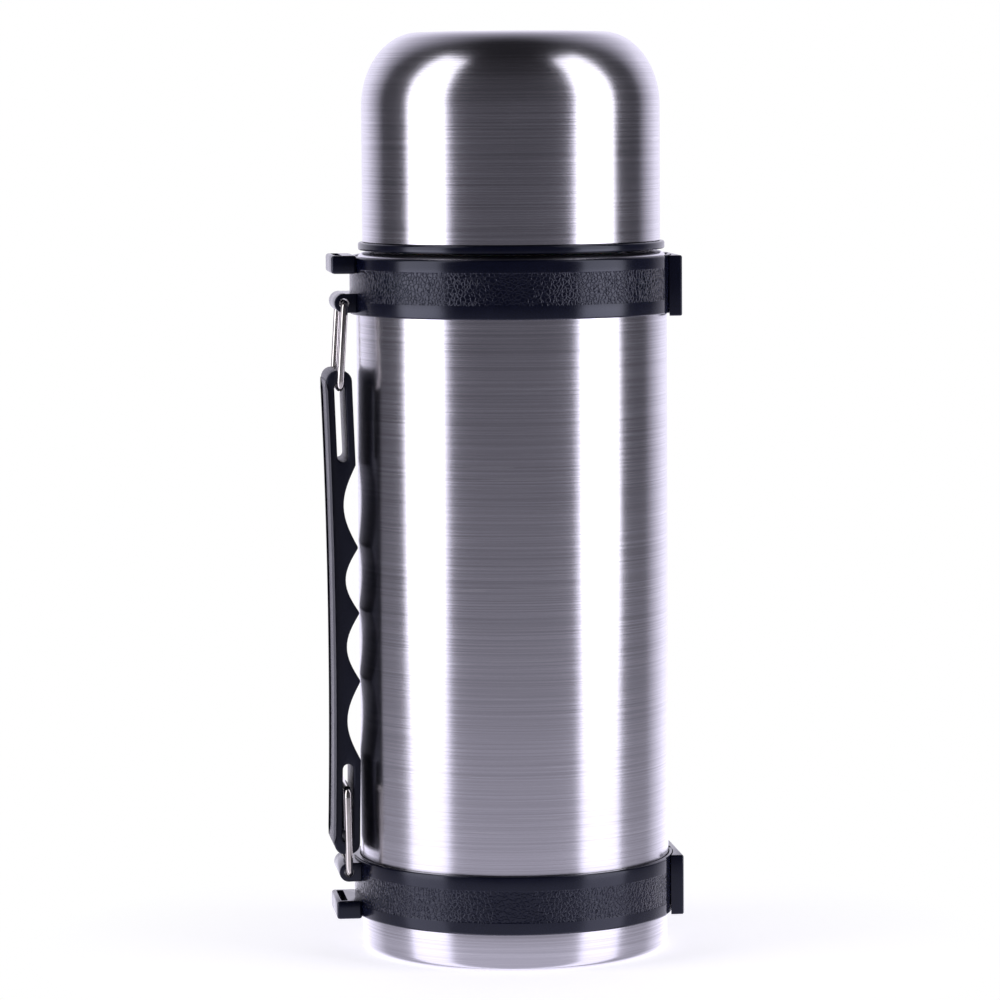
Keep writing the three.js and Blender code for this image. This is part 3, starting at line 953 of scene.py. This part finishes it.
class OBJECT_OT_flask_bands(FlaskOperator):
    """Model the two clamped bands and their keepers"""

    bl_idname = "object.flask_bands"
    bl_label = "Bands"

    inner = 50.3
    lug_border = 3.9
    boss_border = 4.4
    lug_half_width = 12.0
    lug_proud = 0.5
    lug_height = 5.8
    boss_out = 55.0
    boss_up = 3.9
    boss_r = 3.1
    boss_width = 23.0
    boss_hole = 1.6
    seat = 51.2
    keeper_half_width = 15.8

    def make(self, context):
        for name, is_upper in (("upper", True), ("lower", False)):
            self.band(name, is_upper)
            self.keeper(name, is_upper)

    def band(self, name, is_upper):
        node = name + "_band"
        inner, outer = self.inner, radius(node)
        height = high(node).z - low(node).z - self.lug_proud
        recess = sizes().grain_depth
        first, last = self.boss_border, height - self.lug_border
        outline = rounded(
            [
                (inner, 0, 0.2),
                (outer, 0, 0.5),
                (outer, first, 0.12),
                (outer - recess, first + 0.25, 0.05),
                (outer - recess, last - 0.25, 0.05),
                (outer, last, 0.12),
                (outer, height, 0.8),
                (inner, height, 0.2),
            ]
        )
        piece = turned(name.title() + " band", outline, sides=192)
        self.add_lug(piece, node, height)
        self.add_boss(piece, node)
        self.open_ends(piece, height)
        self.place(piece, node, is_upper)
        smooth(piece, 40)
        hand_over(piece, "flask_body", [node], [band_gloss(), band_grain()])
        bottom, top = low(node).z, high(node).z
        edge = outer - recess - 0.3

        def in_grain(centre, normal):
            out = math.hypot(centre.x, centre.y)
            up = centre.z - bottom if is_upper else top - centre.z
            return first + 0.1 < up < last - 0.1 and edge < out < outer and abs(normal.z) < 0.5

        paint_faces(piece, 1, in_grain)

    def add_lug(self, piece, node, height):
        """Joins on the slotted lug that stands a little above the band's edge."""
        reach, half = -low(node).x, self.lug_half_width
        top = height + self.lug_proud
        lug = block("Lug", (-reach, -half, top - self.lug_height), (-50.9, half, top), 0.9)
        cut(lug, block("Slot", (-57.6, -10, top - 9), (-55.4, 10, top + 3), 0.7))
        join(piece, lug)

    def add_boss(self, piece, node):
        """Joins on the drilled knuckle that holds the link's ends."""
        x, z, r, width = -self.boss_out, self.boss_up, self.boss_r, self.boss_width
        knuckle = cross_rod("Knuckle", (x, 0, z), r, width)
        edit(knuckle)
        bpy.ops.mesh.select_all(action="SELECT")
        pick_edges(knuckle, lambda a, b: abs(abs(a.y) - width / 2) < 0.01 and abs(a.y - b.y) < 0.01)
        bpy.ops.mesh.bevel(offset=0.4 * MM, segments=3, affect="EDGES")
        done()
        web = block("Web", (x, -width / 2, z - r + 0.05), (-50.9, width / 2, z + r - 0.05), 0.3)
        join(knuckle, web)
        cut(knuckle, cross_rod("Hole", (x, 0, z), self.boss_hole, width + 4, sides=32))
        join(piece, knuckle)

    def open_ends(self, piece, height):
        """Thins the band's ends for the keeper, and parts them."""
        seat = self.seat
        ring = turned("Thinning", [(seat, -2), (60, -2), (60, height + 2), (seat, height + 2)], sides=192)
        cut(ring, block("Keep", (-70, -60, -5), (46.3, 60, height + 5)))
        for side in (-1, 1):
            cut(ring, block("Side", (40, side * self.keeper_half_width, -5), (70, side * 60, height + 5)))
        cut(piece, ring)
        cut(piece, block("Slit", (40, -1.5, -3), (60, 1.5, height + 3)))

    def place(self, piece, node, is_upper):
        """Lifts the band to its height. The lower one is turned over first."""
        edit(piece)
        bpy.ops.mesh.select_all(action="SELECT")
        if not is_upper:
            bpy.ops.transform.mirror(orient_type="GLOBAL", constraint_axis=(False, False, True))
            bpy.ops.mesh.normals_make_consistent(inside=False)
            mesh = bmesh.from_edit_mesh(piece.data)
            lift = low(node).z - min(v.co.z for v in mesh.verts) / MM
        else:
            lift = low(node).z
        bpy.ops.transform.translate(value=(0, 0, lift * MM))
        done()

    def keeper(self, name, is_upper):
        node = name + "_keeper"
        bottom, top = low(node), high(node)
        piece = block(name.title() + " keeper", (48.6, bottom.y, bottom.z), (top.x, top.y, top.z), 0.6, 4)
        under, over, seat = bottom.z - 2.3, top.z + 2.3, 51.5
        outline = [(0, under), (seat, under), (seat, over), (0, over)]
        cut(piece, turned("Seat", outline, sides=192, closed=False))
        smooth(piece, 35)
        hand_over(piece, "flask_body", [node], [band_gloss()])


class OBJECT_OT_flask_links(FlaskOperator):
    """Model the two wire links by bending a rod"""

    bl_idname = "object.flask_links"
    bl_label = "Wire links"

    wire = 1.15
    length = 27.0
    width = 27.4
    bend = 2.4
    end_gap = 0.25

    def make(self, context):
        self.link("upper", "handle_swing", "top_link", -1, math.radians(3.6))
        self.link("lower", "lower_link_swing", "bottom_link", 1, math.radians(-1.0))

    def link(self, name, joint, body, down, lean):
        """Bends a loop in the YZ plane whose ends meet inside the boss, then leans it out."""
        straight = self.width / 2 - self.bend
        reach = self.length - self.bend
        clear_selection()
        bpy.ops.mesh.primitive_circle_add(
            vertices=20,
            radius=self.wire * MM,
            fill_type="NGON",
            location=(0, self.end_gap * MM, 0),
            rotation=(math.pi / 2, 0, 0),
        )
        piece = named(name.title() + " link")
        bpy.ops.object.transform_apply(location=True, rotation=True, scale=True)
        bpy.ops.object.mode_set(mode="EDIT")
        bpy.ops.mesh.select_all(action="SELECT")
        self.draw((0, straight - self.end_gap, 0))
        self.turn((0, straight, down * self.bend), down)
        self.draw((0, 0, down * (self.length - 2 * self.bend)))
        self.turn((0, straight, down * reach), down)
        self.draw((0, -2 * straight, 0))
        self.turn((0, -straight, down * reach), down)
        self.draw((0, 0, -down * (self.length - 2 * self.bend)))
        self.turn((0, -straight, down * self.bend), down)
        self.draw((0, straight - self.end_gap, 0))
        close_up(threshold=0.01 * MM)
        done()
        set_down(piece, pivot(joint), lean)
        smooth(piece, 60)
        hand_over(piece, body, [name + "_link"], [wire_material()])

    def draw(self, step):
        """Draws the wire's end straight on."""
        bpy.ops.mesh.extrude_region_move(TRANSFORM_OT_translate={"value": Vector(step) * MM})

    def turn(self, centre, down):
        """Bends the wire's end by a quarter turn."""
        bpy.ops.mesh.spin(steps=8, angle=math.pi / 2, center=Vector(centre) * MM, axis=(-down, 0, 0))


class OBJECT_OT_flask_handle(FlaskOperator):
    """Model the finger-grip handle"""

    bl_idname = "object.flask_handle"
    bl_label = "Handle"

    length = 155.9
    thick = 8.2
    land = 3.8
    slot_long = 25.5
    slot_wide = 3.4
    bow = 1.3
    end_fillet = 3.4
    tips = (30.5, 56.0, 78.0, 99.0, 125.5)
    scallop_depth = 4.3
    tilt = math.radians(0.5)
    bar_from_land = 1.75

    def make(self, context):
        width = high("handle").y
        outline = [self.bowed(s, t) for s, t in self.side_outline()]
        piece = self.plate("Handle", outline, width)
        for start in (self.land, self.length - self.land - self.slot_long):
            slot = [self.bowed(s, t) for s, t in self.slot_outline(start)]
            cut(piece, self.plate("Slot", slot, width + 2))
        soften(piece, sizes().grip_fillet, 3, 50)
        self.border(piece, width)
        self.place(piece)
        smooth(piece, 30)
        hand_over(piece, "grip", ["handle"], [grip_satin(), grip_grain()])
        self.paint(piece, width)

    def bowed(self, s, t):
        """Bows a point of the grip, so that both ends stand off the wall."""
        along = 2 * s / self.length - 1
        return Vector((t - self.bow * along * along, 0, s))

    def side_outline(self):
        """The grip seen from the side: s runs up it, t is positive towards the wall."""
        half = self.thick / 2
        end = self.end_fillet
        points = []

        def corner(s, t, start):
            for i in range(7):
                angle = math.radians(start + 90 * i / 6)
                points.append((s + end * math.sin(angle), t + end * math.cos(angle)))

        corner(end, -half + end, -180)
        corner(end, half - end, -90)
        for k, (first, last) in enumerate(zip(self.tips, self.tips[1:])):
            for i in range(0 if k == 0 else 1, 17):
                share = i / 16
                dip = self.scallop_depth * math.sin(math.pi * share)
                points.append((first + (last - first) * share, half - dip))
        corner(self.length - end, half - end, 0)
        corner(self.length - end, -half + end, 90)
        for i in range(23, 0, -1):
            s = self.length * i / 24
            if end < s < self.length - end:
                points.append((s, -half))
        return points

    def slot_outline(self, start):
        """A long hole with round ends, which starts at that height."""
        half = self.slot_wide / 2
        end = start + self.slot_long
        points = []
        for s, first in ((end - half, 90), (start + half, 270)):
            for i in range(9):
                angle = math.radians(first - 180 * i / 8)
                points.append((s + half * math.cos(angle), half * math.sin(angle)))
        return points

    def plate(self, name, outline, half_width):
        """A flat piece with that outline, as thick as the grip is wide."""
        shifted = [point + Vector((0, -half_width, 0)) for point in outline]
        piece = chain(name, shifted)
        bpy.ops.mesh.select_all(action="SELECT")
        bpy.ops.mesh.edge_face_add()
        bpy.ops.mesh.select_all(action="SELECT")
        bpy.ops.mesh.extrude_region_move(TRANSFORM_OT_translate={"value": (0, 2 * half_width * MM, 0)})
        close_up()
        done()
        return piece

    def border(self, piece, width):
        """Sinks the grained panel a little inside a smooth border."""
        edit(piece)
        pick(piece, lambda c, n: n.x < -0.95 and c.x < -3 and abs(c.y) < width - 0.3)
        bpy.ops.mesh.inset(thickness=1.3 * MM, depth=0)
        bpy.ops.mesh.inset(thickness=0.35 * MM, depth=-0.22 * MM)
        done()

    def paint(self, piece, width):
        """Grains the panel inside the border, on the side that the palm meets."""
        inside = width - 2.0
        paint_faces(piece, 1, lambda c, n: n.x < -0.9 and abs(c.y) < inside and c.x < -54)

    def place(self, piece):
        """Hangs the grip on the upper link's bar, tilted a little outwards at the top."""
        bar = self.length - self.land - self.bar_from_land
        at_rest = self.bowed(bar, 0)
        set_down(piece, -at_rest * MM)
        set_down(piece, pivot("handle_level"), -self.tilt)


class OBJECT_OT_flask_neck(FlaskOperator):
    """Model the inner wall with its neck thread, and the neck collar"""

    bl_idname = "object.flask_neck"
    bl_label = "Neck"

    def make(self, context):
        self.liner()
        self.collar()

    def liner(self):
        r = radius("inner_liner")
        floor, top = low("inner_liner").z, high("inner_liner").z
        wall = 0.5
        neck = 29.1
        outline = rounded(
            [
                (0, floor, 0),
                (r, floor, 8),
                (r, top - 20.6, 9),
                (neck, top - 16.8, 1.5),
                (neck, top - 0.8, 0.1),
                (30.8, top - 0.8, 0.2),
                (30.8, top, 0.35),
                (neck - wall, top, 0.5),
                (neck - wall, top - 17.4, 2.0),
                (r - wall, top - 21.2, 8.3),
                (r - wall, floor + wall, 7.3),
                (0, floor + wall, 0),
            ],
            closed=False,
            steps=6,
        )
        piece = turned("Inner liner", outline, sides=128, closed=False)
        join(piece, thread(neck - 0.35, 26.9, 0.0, top - 12.9, **STOPPER_THREAD))
        smooth(piece)
        hand_over(piece, "flask_body", ["inner_liner"], [inside_steel()])

    def collar(self):
        bottom, top = low("neck_collar").z, high("neck_collar").z
        outside = 43.4
        outline = rounded(
            [
                (30.9, bottom, 0.1),
                (32.8, bottom, 0.2),
                (32.8, top - 8.6, 0.4),
                (41.4, top - 8.6, 0.4),
                (41.4, bottom, 0.2),
                (outside, bottom, 0.3),
                (outside, top, 1.2),
                (36, top, 0.6),
                (34, top - 2, 0.6),
                (34, top - 6.4, 0.6),
                (31.3, top - 6.4, 0.2),
                (30.9, top - 6.8, 0.1),
            ]
        )
        piece = turned("Neck collar", outline, sides=128)
        for start in (0.0, 0.5):
            join(piece, thread(outside - 0.5, 45.2, start, bottom + 6.5, **CUP_THREAD))
        smooth(piece)
        hand_over(piece, "flask_body", ["neck_collar"], [collar_satin()])


class OBJECT_OT_flask_stopper(FlaskOperator):
    """Model the stopper, its button and its pour valve"""

    bl_idname = "object.flask_stopper"
    bl_label = "Stopper"

    def make(self, context):
        self.body()
        self.seal("Stopper seal", "stopper_seal", 26.8, "stopper_ring")
        self.insert()
        self.cover()
        self.button()
        self.valve()
        self.spring()

    def body(self):
        bottom, top = low("stopper_body").z, high("stopper_body").z
        flange = top - 8.6
        r = 26.2
        rim = radius("stopper_body")
        outline = rounded(
            [
                (12, bottom, 0.4),
                (r, bottom, 1.0),
                (r, flange, 0.3),
                (rim, flange, 0.5),
                (rim, flange + 2.2, 0.8),
                (30, flange + 2.4, 0.6),
                (29, top, 0.7),
                (27, top, 0.3),
                (27.6, flange + 2, 0.4),
                (24.6, flange, 0.4),
                (24.6, bottom + 2, 0.5),
                (12, bottom + 2, 0.4),
            ]
        )
        piece = turned("Stopper body", outline, sides=128)
        join(piece, thread(r - 0.5, 27.9, 0.0, top - 21.4, **STOPPER_THREAD))
        cut(piece, block("Window", (20, -9, flange + 2.6), (40, 9, flange + 7), 0.8))
        self.knurl(piece, rim, flange)
        smooth(piece)
        hand_over(piece, "stopper", ["stopper_body"], [stopper_grey()])

    def knurl(self, piece, rim, flange):
        """Sinks every other face of the flange's side, for the fingers."""
        faces = 64

        def grooved(centre, normal):
            side = math.hypot(centre.x, centre.y) > rim - 0.1 and abs(normal.z) < 0.1
            step = int((math.atan2(centre.y, centre.x) + math.pi) / (2 * math.pi) * faces + 0.01)
            return side and step % 2 == 0

        edit(piece)
        pick(piece, grooved)
        bpy.ops.mesh.inset(thickness=0.25 * MM, depth=-0.35 * MM)
        done()

    def seal(self, name, node, inner, body):
        """A silicone ring with rounded edges."""
        corners = [
            (inner, low(node).z, 0.3),
            (radius(node), low(node).z, 0.4),
            (radius(node), high(node).z, 0.4),
            (inner, high(node).z, 0.3),
        ]
        piece = smooth_turned(name, corners, sides=96)
        hand_over(piece, body, [node], [silicone()])

    def insert(self):
        bottom, top = low("stopper_insert").z, high("stopper_insert").z
        corners = [
            (5, bottom, 0.2),
            (22, bottom, 1.0),
            (22, top, 0.3),
            (21, top, 0.3),
            (21, bottom + 1, 0.5),
            (6, bottom + 1, 0.3),
            (6, top - 7, 0.2),
            (5, top - 7, 0.2),
        ]
        piece = smooth_turned("Stopper insert", corners, sides=96)
        hand_over(piece, "stopper", ["stopper_insert"], [stopper_grey()])

    def cover(self):
        bottom, top = low("insert_cover").z, high("insert_cover").z
        corners = [
            (4.4, bottom, 0.2),
            (20.6, bottom, 0.2),
            (20.6, top - 6.6, 0.5),
            (26.4, top - 4, 0.5),
            (26.4, top, 0.8),
            (16.2, top, 0.6),
            (16.2, top - 1, 0.2),
            (18, top - 4, 0.5),
            (18, bottom + 1, 0.4),
            (4.4, bottom + 1, 0.2),
        ]
        piece = smooth_turned("Stopper cover", corners, sides=128)
        hand_over(piece, "stopper", ["insert_cover"], [collar_satin()])

    def button(self):
        bottom, top = low("push_button").z, high("push_button").z
        r = radius("push_button")
        corners = [
            (0, top - 2, 0),
            (13.6, top - 2, 0.4),
            (13.6, bottom, 0.3),
            (r, bottom, 0.3),
            (r, top, 1.4),
            (11, top, 0.8),
            (9.5, top - 0.5, 0.8),
            (0, top - 0.7, 0),
        ]
        piece = smooth_turned("Push button", corners, sides=128, closed=False)
        hand_over(piece, "button", ["push_button"], [stopper_grey()])

    def valve(self):
        bottom, top = low("valve_stem").z, high("valve_stem").z
        corners = [
            (0, bottom, 0),
            (2.4, bottom, 0.2),
            (2.4, top - 6, 0.1),
            (1.9, top - 5.4, 0.1),
            (1.9, top - 3, 0.1),
            (2.4, top - 2.4, 0.1),
            (2.4, top, 0.3),
            (0, top, 0),
        ]
        stem = smooth_turned("Valve stem", corners, sides=48, closed=False)
        hand_over(stem, "button", ["valve_stem"], [stopper_grey()])
        bottom, top = low("valve_head").z, high("valve_head").z
        corners = [
            (0, bottom, 0),
            (9, bottom, 1.0),
            (13.8, bottom + 1.6, 0.6),
            (13.8, top, 0.4),
            (0, top, 0),
        ]
        head = smooth_turned("Valve head", corners, sides=96, closed=False)
        hand_over(head, "button", ["valve_head"], [stopper_grey()])
        self.seal("Valve seal", "valve_seal", 9.5, "button")

    def spring(self):
        """Coils a ring of wire up the axis."""
        bottom, top = low("button_spring").z, high("button_spring").z
        wire, turns, travel = 0.5, 4, 4.0
        coil = radius("button_spring") - wire
        clear_selection()
        bpy.ops.mesh.primitive_circle_add(
            vertices=12,
            radius=wire * MM,
            fill_type="NOTHING",
            location=(coil * MM, 0, (bottom + wire) * MM),
            rotation=(math.pi / 2, 0, 0),
        )
        piece = named("Button spring")
        bpy.ops.object.transform_apply(location=True, rotation=True, scale=True)
        winding = piece.modifiers.new("Winding", "SCREW")
        winding.iterations = turns
        winding.screw_offset = (top - bottom - 2 * wire) / turns * MM
        winding.steps = winding.render_steps = 40
        bpy.ops.object.modifier_apply(modifier="Winding")
        edit(piece)
        cap_ends(sides=16)
        done()
        smooth(piece, 60)
        hand_over(piece, "stopper", ["button_spring"], [wire_material()])
        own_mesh(piece)


class OBJECT_OT_flask_hidden(FlaskOperator):
    """Finish the pieces that keep their frame shape, inside the flask"""

    bl_idname = "object.flask_hidden"
    bl_label = "Hidden pieces"

    def make(self, context):
        finishes = {
            "foil_shield": once("Copper foil", worn_metal, (0.8, 0.5, 0.34), 0.2),
            "vacuum_bottom": inside_steel(),
            "tip_seal": once("Braze", worn_metal, (0.66, 0.56, 0.38), 0.4),
            "getter": once("Getter", worn_metal, (0.3, 0.3, 0.31), 0.6),
            "collar_gasket": silicone(),
            "foam_core": once("Beaded foam", beaded_foam),
        }
        for node, material in finishes.items():
            data = bpy.data.objects[node].data
            data.materials.clear()
            data.materials.append(material)


# Stage

TINT = (1.0, 0.965, 1.13, 1.0)  # the studio's light is a little violet


def strip_light(name, azimuth, power):
    """A tall soft light that stands on the floor and faces the flask."""
    distance, height, width = 0.85, 1.6, 0.54
    place = Vector((math.sin(azimuth) * distance, -math.cos(azimuth) * distance, height / 2))
    clear_selection()
    bpy.ops.object.light_add(type="AREA", location=place)
    light = bpy.context.object
    light.name = name
    light.data.shape = "RECTANGLE"
    light.data.size = width
    light.data.size_y = height
    light.data.energy = power
    light.data.color = (1.0, 0.98, 1.05)
    aim = Vector((0, 0, place.z)) - place
    light.rotation_euler = aim.to_track_quat("-Z", "Y").to_euler()


class OBJECT_OT_flask_stage(FlaskOperator):
    """Set up the floor, the studio light and the camera"""

    bl_idname = "object.flask_stage"
    bl_label = "Stage"

    strip_turn = math.radians(67.5)

    def make(self, context):
        look = context.scene.flask_stage
        self.floor(look.azimuth)
        self.world(context, look.azimuth)
        for name, side in (("Left strip", -1), ("Right strip", 1)):
            strip_light(name, look.azimuth + side * self.strip_turn, look.strip_power)
        self.camera(context, look)

    def floor(self, azimuth):
        """Lays a wide white floor under the foot."""
        clear_selection()
        bpy.ops.mesh.primitive_circle_add(vertices=96, radius=6.0, fill_type="NGON", location=(0, 0, 0))
        floor = named("Floor")
        floor.data.materials.append(floor_material(azimuth))

    def world(self, context, azimuth):
        """The camera sees plain white; everything else sees the studio's pattern."""
        world = bpy.data.worlds.new("Studio")
        context.scene.world = world
        world.use_nodes = True
        n = Nodes(world.node_tree)
        shown = world.node_tree.nodes["Background"]
        shown.inputs["Color"].default_value = (1.0, 1.0, 1.0, 1.0)
        shown.inputs["Strength"].default_value = 1.0
        sky = n.add("ShaderNodeTexCoord").outputs["Generated"]
        rise = n.add("ShaderNodeSeparateXYZ", {"Vector": sky}).outputs["Z"]
        seen = {"Vector": sky, "Towards": towards(azimuth), "Front": 0.045, "Strips": 0.5}
        pattern = use_group(n, "studio", seen)
        ceiling = n.ranged(rise, 0.3, 0.95, 1.0, 0.0)
        level = n.maths("ADD", n.maths("MULTIPLY", pattern.outputs["Level"], ceiling), 0.02)
        lit = n.add("ShaderNodeBackground", {"Color": TINT, "Strength": level})
        path = n.add("ShaderNodeLightPath").outputs["Is Camera Ray"]
        both = n.add("ShaderNodeMixShader", {0: path, 1: lit.outputs[0], 2: shown.outputs[0]})
        n.feed(world.node_tree.nodes["World Output"], "Surface", both.outputs[0])

    def camera(self, context, look):
        """Stands the camera in front, a little to one side and pitched down."""
        offset, pitch, roll = -0.00409, math.radians(5.14), -0.0062
        back = Vector((math.sin(look.azimuth), -math.cos(look.azimuth), 0))
        right = Vector((math.cos(look.azimuth), math.sin(look.azimuth), 0))
        place = back * look.distance + right * offset + Vector((0, 0, look.height))
        bpy.ops.object.camera_add(location=place)
        camera = bpy.context.object
        camera.name = "Camera"
        ahead = -back * math.cos(pitch) - Vector((0, 0, math.sin(pitch)))
        turn = ahead.to_track_quat("-Z", "Y").to_matrix() @ Matrix.Rotation(roll, 3, "Z")
        camera.rotation_euler = turn.to_euler()
        camera.data.lens = look.lens
        camera.data.sensor_width = 36.0
        camera.data.clip_start = 0.01
        context.scene.camera = camera
        context.scene.view_settings.view_transform = "Standard"


def towards(azimuth):
    """The level direction from the flask to the camera."""
    return (math.sin(azimuth), -math.cos(azimuth), 0.0)


def floor_material(azimuth):
    """White floor. The camera sees it fade to plain white; reflections see it glow with the studio's
    pattern, painted light that stands in for the floor lit by the strips.
    """
    material, n, shader, place = start_material("White floor")
    n.feed(shader, "Base Color", (0.86, 0.855, 0.88, 1))
    n.feed(shader, "Roughness", 0.8)
    n.feed(shader, "Specular IOR Level", 0.0)
    n.feed(shader, "Emission Color", (0.97, 0.965, 1.0, 1))
    n.feed(shader, "Emission Strength", 0.65)
    far = n.add("ShaderNodeVectorMath", {0: place}, operation="LENGTH").outputs["Value"]
    white = n.add("ShaderNodeEmission", {"Color": (1, 1, 1, 1), "Strength": 1.0})
    fade = n.ranged(far, 0.055, 0.16, 0, 1)
    seen = n.add("ShaderNodeMixShader", {0: fade, 1: shader.outputs[0], 2: white.outputs[0]})
    # Painted light: rays other than the camera's see the floor glow, dim in front and fading with
    # distance, bright towards the strips. This is a painted reflection of the lit floor.
    drop = n.maths("POWER", n.maths("DIVIDE", far, 0.6), 1.5)
    front = n.maths("ADD", 0.07, n.maths("DIVIDE", 0.56, n.maths("ADD", 1.0, drop)))
    incoming = n.add("ShaderNodeNewGeometry").outputs["Incoming"]
    away = n.add("ShaderNodeVectorMath", {0: incoming, "Scale": -1.0}, operation="SCALE").outputs[0]
    reflected = {"Vector": away, "Towards": towards(azimuth), "Front": front, "Strips": 1.6}
    pattern = use_group(n, "studio", reflected)
    painted_studio_glow = n.add("ShaderNodeEmission", {"Color": TINT, "Strength": pattern.outputs["Level"]})
    path = n.add("ShaderNodeLightPath").outputs["Is Camera Ray"]
    both = n.add("ShaderNodeMixShader", {0: path, 1: painted_studio_glow.outputs[0], 2: seen.outputs[0]})
    n.feed(material.node_tree.nodes["Material Output"], "Surface", both.outputs[0])
    material.cycles.emission_sampling = "NONE"
    return material


# Add-on


class VIEW3D_PT_flask(bpy.types.Panel):
    """The flask's settings and the steps that build it"""

    bl_label = "Vacuum flask"
    bl_idname = "VIEW3D_PT_flask"
    bl_space_type = "VIEW_3D"
    bl_region_type = "UI"
    bl_category = "Flask"

    def draw(self, context):
        scene = context.scene
        for group in (scene.flask_finish, scene.flask_sizes, scene.flask_stage):
            box = self.layout.box()
            for name in group.__annotations__:
                box.prop(group, name)
        for step in STEPS:
            self.layout.operator(step.bl_idname)


STEPS = (
    OBJECT_OT_flask_stage,
    OBJECT_OT_flask_shell,
    OBJECT_OT_flask_cup,
    OBJECT_OT_flask_bands,
    OBJECT_OT_flask_links,
    OBJECT_OT_flask_handle,
    OBJECT_OT_flask_neck,
    OBJECT_OT_flask_stopper,
    OBJECT_OT_flask_hidden,
)
CLASSES = (FlaskFinish, FlaskSizes, FlaskStage, *STEPS, VIEW3D_PT_flask)


def register():
    for cls in CLASSES:
        bpy.utils.register_class(cls)
    bpy.types.Scene.flask_finish = bpy.props.PointerProperty(type=FlaskFinish)
    bpy.types.Scene.flask_sizes = bpy.props.PointerProperty(type=FlaskSizes)
    bpy.types.Scene.flask_stage = bpy.props.PointerProperty(type=FlaskStage)


def unregister():
    del bpy.types.Scene.flask_stage
    del bpy.types.Scene.flask_sizes
    del bpy.types.Scene.flask_finish
    for cls in reversed(CLASSES):
        bpy.utils.unregister_class(cls)


def main():
    register()
    bpy.ops.object.flask_stage()
    bpy.ops.object.flask_shell()
    bpy.ops.object.flask_cup()
    bpy.ops.object.flask_bands()
    bpy.ops.object.flask_links()
    bpy.ops.object.flask_handle()
    bpy.ops.object.flask_neck()
    bpy.ops.object.flask_stopper()
    bpy.ops.object.flask_hidden()
    clear_selection()


if __name__ == "__main__":
    main()
